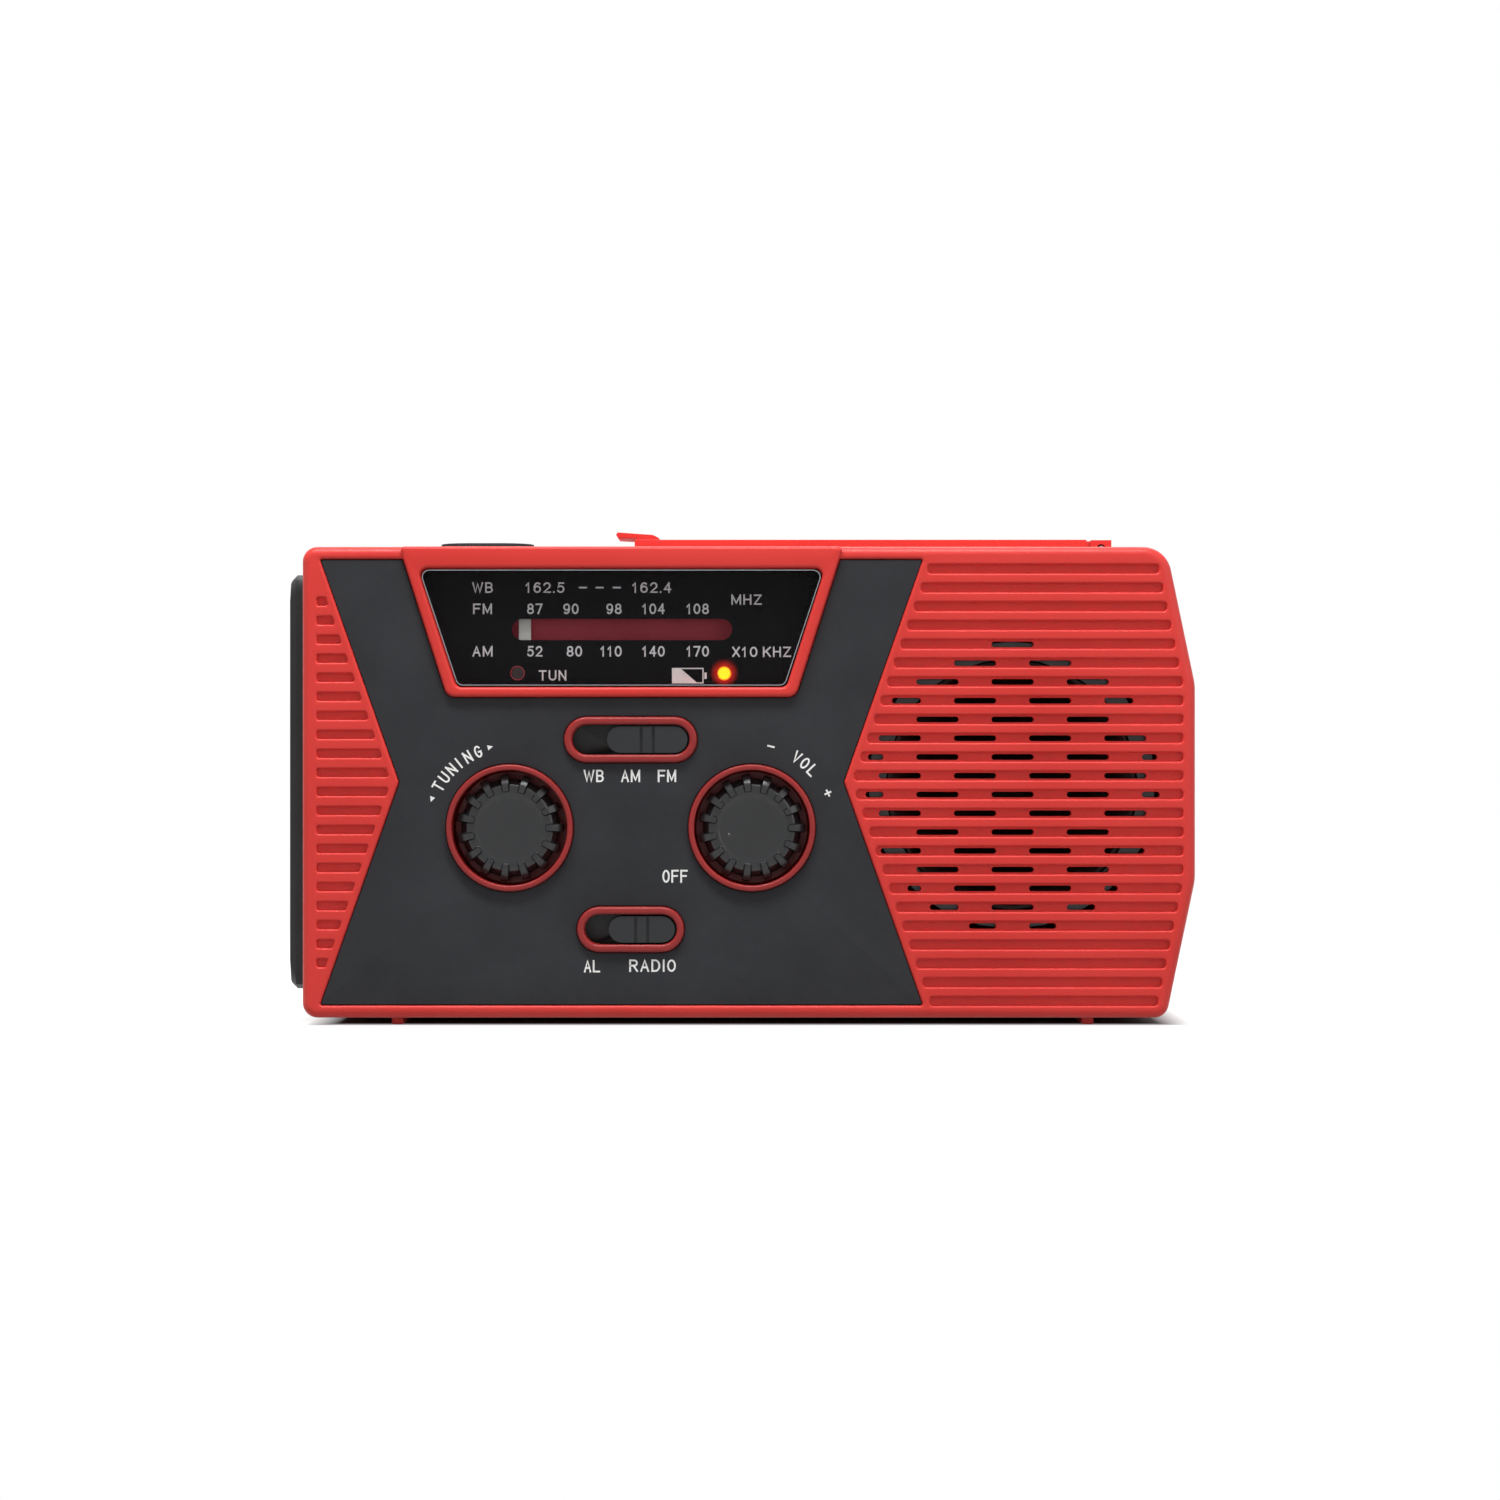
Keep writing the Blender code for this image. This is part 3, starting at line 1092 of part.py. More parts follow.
def torch():
    outer = LEFT - TORCH_PROUD
    low = BOTTOM + BEZEL_END_INSET
    high = TOP - BEZEL_END_INSET
    outline = box_loop(BEZEL_FRONT, BACK - BEZEL_BACK_INSET, low, high, BEZEL_CORNER, 2)
    hole = circle(TORCH_RADIUS + SEAT_GAP, 36, TORCH_AT)
    bezel = plate("torch_bezel", [outline, hole], "side", (outer, LEFT - SEAT_GAP))
    soften(bezel, BEZEL_EDGE, 1, face=-1)
    finish(bezel, BLACK, 0.5)
    lens_outer = outer + LENS_SINK
    lens_span = (lens_outer, lens_outer + LENS_THICKNESS)
    finish(rod("torch_lens", TORCH_RADIUS, "side", TORCH_AT, lens_span, 36), WHITE, 0.05)
    mouth = lens_span[1] + SEAT_GAP
    inner = TORCH_RADIUS - REFLECTOR_WALL
    profile = []
    for step in range(6):
        share = 1 - (1 - REFLECTOR_NECK_SHARE) * step / 5
        profile.append((inner * sqrt(share), mouth + REFLECTOR_DEPTH * (1 - share)))
    profile += [(radius + REFLECTOR_WALL, along) for radius, along in reversed(profile)]
    finish(turned("torch_reflector", profile, "side", TORCH_AT, 28, closed=True), STEEL, 0.08, 1)
    base = profile[5][1] + SEAT_GAP
    led = [(0, base - TORCH_LED_LENGTH), (TORCH_LED_RADIUS, base - TORCH_LED_LENGTH)]
    led += [(TORCH_LED_RADIUS, base), (TORCH_BASE_RADIUS, base)]
    led += [(TORCH_BASE_RADIUS, base + TORCH_BASE_THICKNESS)]
    led += [(0, base + TORCH_BASE_THICKNESS)]
    finish(turned("torch_led", led, "side", TORCH_AT, 16), WHITE, 0.2)


# Rear case and battery
BATTERY_RADIUS = 0.0092
BATTERY_LENGTH = 0.0650
BATTERY_LEFT = 0.0115
BATTERY_DOOR_GAP = 0.0011
BATTERY_RISE = 0.0167
POCKET_MARGIN = 0.0005
POCKET_WALL = 0.0013
BOSS_RADIUS = 0.0036
HEAD_RADIUS = 0.0026
HEAD_HEIGHT = 0.0018
HEAD_SEAT = 0.0300
SHANK_RADIUS = 0.0009
GEAR_POST_RADIUS = 0.0026
BEARING_RADIUS = 0.0055
BEARING_LENGTH = 0.0022
PORT_LEFT = 0.0140
PORT_WIDTH = 0.0290
PORT_RISE = 0.0505
PORT_HEIGHT = 0.0160
PORT_RECESS = 0.0018
PORT_BLOCK_DEPTH = 0.0075
PORT_BLOCK_MARGIN = 0.0020
FLAP_THICKNESS = 0.0015
PLATE_THICKNESS = 0.0012
UPPER_POST_LEFT = 0.0100
UPPER_POST_RISE = 0.0200
LOWER_POST_RIGHT = 0.0160
LOWER_POST_DROP = 0.0132
FAR_POST_LEFT = 0.0475
FAR_POST_DROP = 0.0020
BATTERY_START = LEFT + BATTERY_LEFT
BATTERY_Y = BACK - REAR_WALL - BATTERY_DOOR_GAP - BATTERY_RADIUS
BATTERY_Z = BOTTOM + BATTERY_RISE
POCKET_END = BATTERY_START + BATTERY_LENGTH + 2 * POCKET_MARGIN
PORT_X = (LEFT + PORT_LEFT, LEFT + PORT_LEFT + PORT_WIDTH)
PORT_Z = (BOTTOM + PORT_RISE, BOTTOM + PORT_RISE + PORT_HEIGHT)
BAY_FLOOR = TOP - ANTENNA_BAY_DEPTH
GEAR_POSTS = (
    (-UPPER_POST_LEFT, UPPER_POST_RISE),
    (LOWER_POST_RIGHT, -LOWER_POST_DROP),
    (-FAR_POST_LEFT, -FAR_POST_DROP),
)


def rear_case():
    case = plate("rear_case", [body_outline()], "front", (SPLIT, BACK))
    soften(case, RIM_RADIUS, 2, face=-1)
    high = BAY_FLOOR - SIDE_WALL
    low = BOTTOM + SIDE_WALL
    small = CORNER_RADIUS / 4
    bend = SHOULDER_RADIUS * 2
    corners = [(LEFT + SIDE_WALL, low, small), (RIGHT - SIDE_SLANT - SIDE_WALL, low, small)]
    corners += [(RIGHT - SIDE_WALL, MIDDLE - SIDE_STRAIGHT / 2, bend)]
    corners += [(RIGHT - SIDE_WALL, MIDDLE + SIDE_STRAIGHT / 2, bend)]
    corners += [(right_edge(high) - SIDE_WALL, high, small), (LEFT + SIDE_WALL, high, small)]
    inside = plate("inside", [rounded(corners)], "front", (SPLIT - OVERRUN, BACK - REAR_WALL))
    cut(case, inside, solver="MANIFOLD")
    upper_span = (SPLIT - OVERRUN, ANTENNA_BAY_FRONT - SIDE_WALL)
    inside_top = plate("inside_top", [body_outline(SIDE_WALL)], "front", upper_span)
    cut(case, inside_top, solver="MANIFOLD")

    rooted = BACK - REAR_WALL / 2
    pocket_x = (BATTERY_START, POCKET_END)
    pocket_half = BATTERY_RADIUS + POCKET_MARGIN
    pocket_front = BATTERY_Y - pocket_half
    grow = POCKET_WALL
    box_x = (pocket_x[0] - grow, pocket_x[1] + grow)
    box_z = (BOTTOM + SIDE_WALL / 2, BATTERY_Z + pocket_half + grow)
    added = [block("battery_box", box_x, (pocket_front - grow, rooted), box_z)]
    for place in SCREW_PLACES:
        added.append(rod("boss", BOSS_RADIUS, "front", place, (SPLIT, rooted), 12))
    for across, up in GEAR_POSTS:
        place = (CRANK_X + across, CRANK_Z + up)
        post_span = (PLATE_BACK + SEAT_GAP, rooted)
        added.append(rod("gear_post", GEAR_POST_RADIUS, "front", place, post_span, 10))
    bearing = (BACK - REAR_WALL - BEARING_LENGTH, rooted)
    added.append(rod("bearing", BEARING_RADIUS, "front", (CRANK_X, CRANK_Z), bearing, 20))
    margin = PORT_BLOCK_MARGIN
    port_x = (PORT_X[0] - margin, PORT_X[1] + margin)
    port_z = (PORT_Z[0] - margin, PORT_Z[1] + margin)
    added.append(block("port_block", port_x, (BACK - PORT_BLOCK_DEPTH, rooted), port_z))
    unite(case, *added)
    for x in FOOT_PLACES:
        feet_x = (x - FOOT_WIDTH / 2, x + FOOT_WIDTH / 2)
        foot = block("foot", feet_x, (SPLIT, BACK - FOOT_END_INSET), (0, BOTTOM + SIDE_WALL / 4))
        unite(case, foot, solver="MANIFOLD")

    pocket_z = (BATTERY_Z - pocket_half, BATTERY_Z + pocket_half)
    removed = [block("pocket", pocket_x, (pocket_front, BACK + OVERRUN), pocket_z)]
    bay_x = (LEFT - OVERRUN, RIGHT + OVERRUN)
    removed.append(block("bay", bay_x, (ANTENNA_BAY_FRONT, BACK + OVERRUN), (BAY_FLOOR, TOP + OVERRUN)))
    removed.append(block("port_recess", PORT_X, (BACK - PORT_RECESS, BACK + OVERRUN), PORT_Z))
    removed.append(torch_opening())
    removed.append(tray_opening())
    shaft_hole = CRANK_SHAFT_RADIUS + SEAT_GAP
    through = (bearing[0] - OVERRUN, BACK + OVERRUN)
    removed.append(rod("shaft_hole", shaft_hole, "front", (CRANK_X, CRANK_Z), through, 20))
    for place in SCREW_PLACES:
        span = (HEAD_SEAT, BACK + OVERRUN)
        removed.append(rod("head_hole", HEAD_RADIUS + SEAT_GAP, "front", place, span, 12))
    cut(case, *removed)

    drilled = [rod("pivot_hole", PIVOT_RADIUS + SEAT_GAP, "front", PIVOT_AT, PIVOT_HOLE, 12)]
    for place in SCREW_PLACES:
        span = (SPLIT - OVERRUN, HEAD_SEAT + OVERRUN)
        drilled.append(rod("shank_hole", SHANK_RADIUS + 2 * SEAT_GAP, "front", place, span, 8))
    socket_span = (BACK - PORT_BLOCK_DEPTH - OVERRUN, BACK - PORT_RECESS / 2)
    drilled.append(socket_block("socket_hole", SEAT_GAP, socket_span))
    cut(case, *drilled, solver="MANIFOLD")
    finish(case, RED, 0.42)


def battery():
    start = BATTERY_START + POCKET_MARGIN
    span = (start, start + BATTERY_LENGTH)
    cell = rod("battery_cell", BATTERY_RADIUS, "side", (BATTERY_Y, BATTERY_Z), span, 24)
    finish(cell, BOARD_GREEN, 0.35)
    half = BATTERY_RADIUS + POCKET_MARGIN - SEAT_GAP
    across = (BATTERY_START + SEAT_GAP, POCKET_END - SEAT_GAP)
    loop = box_loop(*across, BATTERY_Z - half, BATTERY_Z + half)
    finish(plate("battery_door", [loop], "front", (BACK - REAR_WALL, BACK)), RED, 0.45)


def case_screws():
    head = HEAD_SEAT + SEAT_GAP
    tip = FRONT_DEPTH - SCREW_HOLE_DEPTH + SEAT_GAP
    profile = [(0, tip), (SHANK_RADIUS, tip), (SHANK_RADIUS, head), (HEAD_RADIUS, head)]
    profile += [(HEAD_RADIUS, head + HEAD_HEIGHT), (0, head + HEAD_HEIGHT)]
    for number, place in enumerate(SCREW_PLACES, 1):
        finish(turned(f"case_screw_{number}", profile, "front", place, 10), STEEL, 0.4, 1)


# Crank, its folding grip, and the gear train
GEAR_BEARING_GAP = 0.0004
GEAR_FACE = 0.0030
GEAR_STACK_GAP = 0.0020
LARGE_FACE = 0.0030
PLATE_GAP = 0.0018
AXLE_RADIUS = 0.0015
ROTOR_SHAFT_RADIUS = 0.0018
GENERATOR_RADIUS = 0.0120
GENERATOR_LENGTH = 0.0094
GENERATOR_WALL = 0.0010
ARM_RADIUS = 0.0085
SHAFT_SEAT = 0.0040
SLOT_HALF = 0.0048
SLOT_START = 0.0110
SLOT_BEYOND = 0.0046
YOKE_RADIUS = 0.0038
YOKE_HALF = 0.0044
PIN_RADIUS = 0.0010
PIN_HALF = 0.0074
STEM_RADIUS = 0.0014
STEM_HEAD_RADIUS = 0.0022
STEM_HEAD_LENGTH = 0.0010
GRIP_START = 0.0043
GRIP_LENGTH = 0.0200
GRIP_COUNTERBORE = 0.0026
GRIP_EDGE = 0.0006
ARM_EDGE = 0.0008
PLATE_LEFT = 0.0515
PLATE_RIGHT = 0.0195
PLATE_BELOW = 0.0164
PLATE_ABOVE = 0.0238
PRESSURE_ANGLE = radians(25)
ADDENDUM_SHARE = 0.85
DEDENDUM_SHARE = 1.05
TOOTH_THIN = 0.00018
TRUNNION_HOLE = PIN_RADIUS + SEAT_GAP
GRIP_X = CRANK_X - CRANK_REACH
GEAR_BACK = BACK - REAR_WALL - BEARING_LENGTH - GEAR_BEARING_GAP
LARGE_BACK = GEAR_BACK - GEAR_FACE - GEAR_STACK_GAP
PLATE_BACK = LARGE_BACK - LARGE_FACE - PLATE_GAP


def involute(angle):
    return tan(angle) - angle


def gear_loop(teeth, tooth_at):
    # Involute teeth thinned by TOOTH_THIN, with one tooth centred on the direction tooth_at.
    pitch = GEAR_MODULE * teeth / 2
    base = pitch * cos(PRESSURE_ANGLE)
    tip = pitch + GEAR_MODULE * ADDENDUM_SHARE
    root = pitch - GEAR_MODULE * DEDENDUM_SHARE
    half_tooth = pi / (2 * teeth) - TOOTH_THIN / (2 * pitch) + involute(PRESSURE_ANGLE)
    start = max(base, root)
    flank = []
    for step in range(3):
        radius = start + (tip - start) * step / 2
        flank.append((radius, half_tooth - involute(acos(min(base / radius, 1)))))
    if root < base:
        flank.insert(0, (root, flank[0][1]))
    points = []
    for tooth in range(teeth):
        middle = tooth_at + 2 * pi * tooth / teeth
        for radius, half in flank:
            points.append((radius * cos(middle - half), radius * sin(middle - half)))
        for radius, half in reversed(flank):
            points.append((radius * cos(middle + half), radius * sin(middle + half)))
    return points


def crank_arm():
    at = (CRANK_X, CRANK_Z)
    outline = pill(-CRANK_REACH / 2, 0, CRANK_REACH + 2 * ARM_RADIUS, 2 * ARM_RADIUS, 8)
    hole = box_loop(-CRANK_REACH - SLOT_BEYOND, -SLOT_START, -SLOT_HALF, SLOT_HALF)
    arm = plate("crank_arm", [outline, hole], "front", (CRANK_FRONT, CRANK_BACK), at)
    soften(arm, ARM_EDGE, 1, face=-1)
    seat = rod("seat", CRANK_SHAFT_RADIUS + SEAT_GAP, "front", at, (BACK, CRANK_FRONT + SHAFT_SEAT), 20)
    half = PIN_HALF + SEAT_GAP
    pin_hole = rod("pin_hole", TRUNNION_HOLE, "top", (GRIP_X, GRIP_Y), (CRANK_Z - half, CRANK_Z + half), 12)
    cut(arm, seat, pin_hole)
    finish(arm, BLACK, 0.4)
    span = (CRANK_Z - PIN_HALF, CRANK_Z + PIN_HALF)
    finish(rod("grip_pin", PIN_RADIUS, "top", (GRIP_X, GRIP_Y), span, 12), STEEL, 0.3, 1)
    span = (PLATE_BACK - PLATE_THICKNESS, CRANK_FRONT + SHAFT_SEAT - SEAT_GAP)
    finish(rod("crank_shaft", CRANK_SHAFT_RADIUS, "front", at, span, 20), STEEL, 0.3, 1)


def crank_grip():
    at = (GRIP_Y, CRANK_Z)
    place = (GRIP_X, GRIP_Y, CRANK_Z)
    span = (CRANK_Z - YOKE_HALF, CRANK_Z + YOKE_HALF)
    yoke = ring("crank_grip_yoke", YOKE_RADIUS, TRUNNION_HOLE, "top", (GRIP_X, GRIP_Y), span, 20)
    stem_start = GRIP_X + (YOKE_RADIUS + TRUNNION_HOLE) / 2
    stem_end = GRIP_X + GRIP_START + GRIP_LENGTH - STEM_HEAD_LENGTH
    head_start = stem_end - STEM_HEAD_LENGTH
    stem = [(0, stem_start), (STEM_RADIUS, stem_start), (STEM_RADIUS, head_start)]
    stem += [(STEM_HEAD_RADIUS, head_start), (STEM_HEAD_RADIUS, stem_end), (0, stem_end)]
    unite(yoke, turned("stem", stem, "side", at, 12))
    finish(yoke, STEEL, 0.4, 1)
    bore = STEM_RADIUS + SEAT_GAP
    start = GRIP_X + GRIP_START
    end = start + GRIP_LENGTH
    seat = head_start - SEAT_GAP
    profile = [(bore, start), (GRIP_RADIUS - GRIP_EDGE, start), (GRIP_RADIUS, start + GRIP_EDGE)]
    profile += [(GRIP_RADIUS, end - GRIP_EDGE), (GRIP_RADIUS - GRIP_EDGE, end), (GRIP_COUNTERBORE, end)]
    profile += [(GRIP_COUNTERBORE, seat), (bore, seat)]
    finish(turned("crank_grip", profile, "side", at, 20, closed=True), BLACK, 0.45)


def gear_train():
    toward_compound = pi
    crank_at = (CRANK_X, CRANK_Z)
    compound_at = (COMPOUND_X, CRANK_Z)
    rotor_at = (ROTOR_X, ROTOR_Z)
    bore = circle(CRANK_SHAFT_RADIUS + SEAT_GAP, 20)
    span = (GEAR_BACK - GEAR_FACE, GEAR_BACK)
    gear = plate("drive_gear", [gear_loop(CRANK_TEETH, toward_compound), bore], "front", span, crank_at)
    finish(gear, NYLON, 0.45)

    small_gap = pi / PINION_TEETH
    small_span = (LARGE_BACK - LARGE_FACE / 3, GEAR_BACK + SEAT_GAP)
    large_span = (LARGE_BACK - LARGE_FACE, LARGE_BACK)
    large = plate("compound_gear", [gear_loop(LARGE_TEETH, ROTOR_ANGLE)], "front", large_span, compound_at)
    small = plate("small", [gear_loop(PINION_TEETH, small_gap)], "front", small_span, compound_at)
    unite(large, small)
    through = (PLATE_BACK, GEAR_BACK + OVERRUN)
    cut(large, rod("bore", AXLE_RADIUS + SEAT_GAP, "front", compound_at, through, 16))
    finish(large, NYLON, 0.45)
    axle_span = (PLATE_BACK - PLATE_THICKNESS, BACK - REAR_WALL - SEAT_GAP)
    axle = rod("compound_gear_axle", AXLE_RADIUS, "front", compound_at, axle_span, 16)
    finish(axle, STEEL, 0.3, 1)

    rotor_gap = ROTOR_ANGLE + pi + pi / PINION_TEETH
    plate_front = PLATE_BACK - PLATE_THICKNESS
    housing_back = plate_front - SEAT_GAP
    housing_front = housing_back - GENERATOR_LENGTH
    wall = GENERATOR_WALL
    hole = ROTOR_SHAFT_RADIUS + SEAT_GAP
    outer = GENERATOR_RADIUS
    profile = [(0, housing_front), (outer, housing_front), (outer, housing_back), (hole, housing_back)]
    profile += [(hole, housing_back - wall), (outer - wall, housing_back - wall)]
    profile += [(outer - wall, housing_front + wall), (0, housing_front + wall)]
    finish(turned("generator_housing", profile, "front", rotor_at, 28), STEEL, 0.4, 1)
    magnet = outer - wall - RUN_GAP
    magnet_front = housing_front + wall + SEAT_GAP
    magnet_back = housing_back - wall - SEAT_GAP
    shaft_back = LARGE_BACK - LARGE_FACE / 2
    profile = [(0, magnet_front), (magnet, magnet_front), (magnet, magnet_back)]
    profile += [(ROTOR_SHAFT_RADIUS, magnet_back), (ROTOR_SHAFT_RADIUS, shaft_back), (0, shaft_back)]
    rotor = turned("generator_rotor", profile, "front", rotor_at, 20)
    pinion = plate("pinion", [gear_loop(PINION_TEETH, rotor_gap)], "front", large_span, rotor_at)
    unite(rotor, pinion, solver="MANIFOLD")
    finish(rotor, BRASS, 0.35, 1)


def gearbox_plate():
    across = (CRANK_X - PLATE_LEFT, CRANK_X + PLATE_RIGHT)
    loops = [box_loop(*across, CRANK_Z - PLATE_BELOW, CRANK_Z + PLATE_ABOVE, ARM_RADIUS / 4)]
    loops.append(circle(CRANK_SHAFT_RADIUS + SEAT_GAP, 20, (CRANK_X, CRANK_Z)))
    loops.append(circle(AXLE_RADIUS + SEAT_GAP, 16, (COMPOUND_X, CRANK_Z)))
    loops.append(circle(ROTOR_SHAFT_RADIUS + SEAT_GAP, 16, (ROTOR_X, ROTOR_Z)))
    span = (PLATE_BACK - PLATE_THICKNESS, PLATE_BACK)
    finish(plate("gearbox_plate", loops, "front", span), STEEL, 0.4, 1)


# Telescopic antenna
PIVOT_DROP = 0.0031
PIVOT_RADIUS = 0.0012
KNUCKLE_RADIUS = 0.0030
FIRST_OUTER = 0.0026
FIRST_INNER = 0.0022
SECOND_OUTER = 0.0019
SECOND_INNER = 0.0015
THIRD_OUTER = 0.0012
TIP_RADIUS = 0.0024
TIP_LENGTH = 0.0044
TUBE_START = 0.0040
NECK_LENGTH = 0.0060
TUBE_STEP = 0.0007
ANTENNA_RUN_GAP = 0.0006
PIVOT_AT = (ANTENNA_X, TOP - PIVOT_DROP)
ANTENNA_Y = ANTENNA_BAY_FRONT + ANTENNA_RUN_GAP + FIRST_OUTER
PIVOT_HOLE = (ANTENNA_BAY_FRONT - SIDE_WALL - OVERRUN, ANTENNA_BAY_FRONT + OVERRUN)


def antenna():
    front = ANTENNA_Y - FIRST_OUTER
    back = ANTENNA_Y + FIRST_OUTER
    pin_front = ANTENNA_BAY_FRONT - SIDE_WALL
    profile = [(0, pin_front), (PIVOT_RADIUS, pin_front), (PIVOT_RADIUS, front), (KNUCKLE_RADIUS, front)]
    profile += [(KNUCKLE_RADIUS, back), (0, back)]
    base = turned("antenna_base", profile, "front", PIVOT_AT, 20)
    at = (ANTENNA_Y, PIVOT_AT[1])
    neck_end = ANTENNA_X - TUBE_START - NECK_LENGTH
    neck = rod("neck", SECOND_OUTER, "side", at, (neck_end, ANTENNA_X - KNUCKLE_RADIUS / 2), 12)
    unite(base, neck)
    finish(base, STEEL, 0.3, 1)
    tip = LEFT + ANTENNA_TIP_INSET
    third_end = tip + TIP_LENGTH
    second_end = third_end + SEAT_GAP
    first_end = second_end + TUBE_STEP
    first_start = ANTENNA_X - TUBE_START
    second_start = neck_end - RUN_GAP
    third_start = second_start - TUBE_STEP
    first = ring("antenna_tube_1", FIRST_OUTER, FIRST_INNER, "side", at, (first_end, first_start), 16)
    finish(first, STEEL, 0.15, 1)
    second = ring("antenna_tube_2", SECOND_OUTER, SECOND_INNER, "side", at, (second_end, second_start), 16)
    finish(second, STEEL, 0.15, 1)
    profile = [(0, tip), (TIP_RADIUS, tip), (TIP_RADIUS, third_end), (THIRD_OUTER, third_end)]
    profile += [(THIRD_OUTER, third_start), (0, third_start)]
    finish(turned("antenna_tube_3", profile, "side", at, 16), STEEL, 0.15, 1)


# Ports under their cover: one moulded block with three sockets
SOCKET_MARGIN = 0.0016
SOCKET_TALL = 0.0090
USB_HALF_WIDTH = 0.0060
USB_SLIT = 0.0011
TONGUE_HALF = 0.0010
JACK_BORE = 0.00175
CHARGE_HALF_WIDTH = 0.0034
CHARGE_HALF_HEIGHT = 0.0009
SOCKET_FLOOR = 0.0010
USB_SHARE = 0.28
CHARGE_SHARE = 0.62
JACK_SHARE = 0.86


def socket_block(name, grow, span):
    left = PORT_X[0] + SOCKET_MARGIN - grow
    right = PORT_X[1] - SOCKET_MARGIN + grow
    half = SOCKET_TALL / 2 + grow
    middle = sum(PORT_Z) / 2
    return plate(name, [box_loop(left, right, middle - half, middle + half)], "front", span)


def port_sockets():
    front = BACK - PORT_BLOCK_DEPTH
    back = BACK - PORT_RECESS - SEAT_GAP
    body = socket_block("port_sockets", 0, (front, back))
    hollow = (front + SOCKET_FLOOR, back + OVERRUN)
    z = sum(PORT_Z) / 2
    usb = (PORT_X[0] + PORT_WIDTH * USB_SHARE, z)
    wide = USB_HALF_WIDTH
    hollows = []
    for side in (-1, 1):
        low, high = sorted((side * TONGUE_HALF, side * (TONGUE_HALF + USB_SLIT)))
        hollows.append(plate("slit", [box_loop(-wide, wide, low, high)], "front", hollow, usb))
    wide = CHARGE_HALF_WIDTH
    tall = CHARGE_HALF_HEIGHT
    charge = (PORT_X[0] + PORT_WIDTH * CHARGE_SHARE, z)
    hollows.append(plate("slit", [box_loop(-wide, wide, -tall, tall)], "front", hollow, charge))
    hollows.append(rod("jack", JACK_BORE, "front", (PORT_X[0] + PORT_WIDTH * JACK_SHARE, z), hollow, 12))
    cut(body, *hollows)
    finish(body, BLACK, 0.4)


def port_cover():
    # The flap turns about the middle of its own rounded lower edge.
    half = FLAP_THICKNESS / 2
    y = BACK - half
    z = PORT_Z[0] + SEAT_GAP + half
    rise = PORT_Z[1] - SEAT_GAP - z
    left = PORT_X[0] + SEAT_GAP
    right = PORT_X[1] - SEAT_GAP
    turns = [radians(180 + 30 * step) for step in range(7)]
    edge = [(half * cos(turn), half * sin(turn)) for turn in turns]
    outline = edge + [(half, rise), (-half, rise)]
    finish(plate("port_cover", [outline], "side", (left, right), (y, z)), BLACK, 0.7)


front_case()
front_panel()
dial_window()
dial_mask()
dial_pointer()
dial_backing()
dial_cord()
knob("tuning_knob", TUNING_X)
knob("volume_knob", VOLUME_X)
dial_drum()
tuning_capacitor()
volume_parts()
slide_switch("band_switch", BAND_Z, BAND_OPENING, BAND_CAP_LENGTH, BAND_TRAVEL, BAND_BODY_LENGTH)
slide_switch("function_switch", FUNCTION_Z, FUNCTION_OPENING, FUNCTION_CAP_LENGTH, FUNCTION_TRAVEL,
             FUNCTION_BODY_LENGTH)
speaker()
main_board()
ferrite()
lid_tray()
solar_lid()
lid_fittings()
top_button()
torch()
rear_case()
battery()
case_screws()
crank_arm()
crank_grip()
gear_train()
gearbox_plate()
antenna()
port_sockets()
port_cover()

radio_origin = bpy.data.objects.new("radio_origin", None)
bpy.context.scene.collection.objects.link(radio_origin)
radio_origin.location = (ORIGIN_X, ORIGIN_Y, 0)
for collection in (parts_collection, tools_collection):
    for shape_object in collection.objects:
        shape_object.parent = radio_origin
bpy.context.view_layer.update()
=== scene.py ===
import bpy
import bmesh
import numpy as np
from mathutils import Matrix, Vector, geometry


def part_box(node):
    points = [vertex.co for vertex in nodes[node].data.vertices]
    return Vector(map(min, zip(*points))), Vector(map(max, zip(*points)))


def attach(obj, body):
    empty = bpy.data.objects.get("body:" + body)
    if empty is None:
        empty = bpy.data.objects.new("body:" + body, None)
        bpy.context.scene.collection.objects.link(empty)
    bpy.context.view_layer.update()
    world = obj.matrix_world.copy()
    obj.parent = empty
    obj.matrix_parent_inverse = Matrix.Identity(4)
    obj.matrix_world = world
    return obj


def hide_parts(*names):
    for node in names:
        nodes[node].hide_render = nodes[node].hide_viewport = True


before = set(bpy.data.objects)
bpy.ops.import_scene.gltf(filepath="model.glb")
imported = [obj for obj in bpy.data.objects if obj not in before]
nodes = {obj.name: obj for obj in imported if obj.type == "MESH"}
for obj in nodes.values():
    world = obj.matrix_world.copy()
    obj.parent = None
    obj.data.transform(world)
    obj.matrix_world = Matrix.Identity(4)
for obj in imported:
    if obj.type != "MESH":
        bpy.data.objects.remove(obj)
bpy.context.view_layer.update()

# Sizes and places are in millimetres. Pieces and materials are turned to metres by mm.
mm = 0.001


def boxOf(node):
    low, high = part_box(node)
    return low / mm, high / mm


def axisOf(node):
    low, high = boxOf(node)
    return (low + high) / 2


caseLow, caseHigh = boxOf("front_case")
bodyMiddle = (caseLow.x + caseHigh.x) / 2
panelMiddle = axisOf("front_panel").x
ringProud = 0.8  # the knobs' rings and the window's frame stand before the face
faceY = caseLow.y + ringProud
topZ = caseHigh.z
footZ = 1.3  # the case's underside
middleZ = (topZ + footZ) / 2
tuningAxis = axisOf("tuning_knob")
volumeAxis = axisOf("volume_knob")
switchX = panelMiddle + 1.6
bandMiddle = Vector((switchX, 0, axisOf("band_switch_body").z))
functionMiddle = Vector((switchX, 0, axisOf("function_switch_body").z))
speakerX = axisOf("speaker_magnet").x


# Materials

noiseSpan = {"From Min": 0.3, "From Max": 0.7}  # nearly all of the noise lies between these


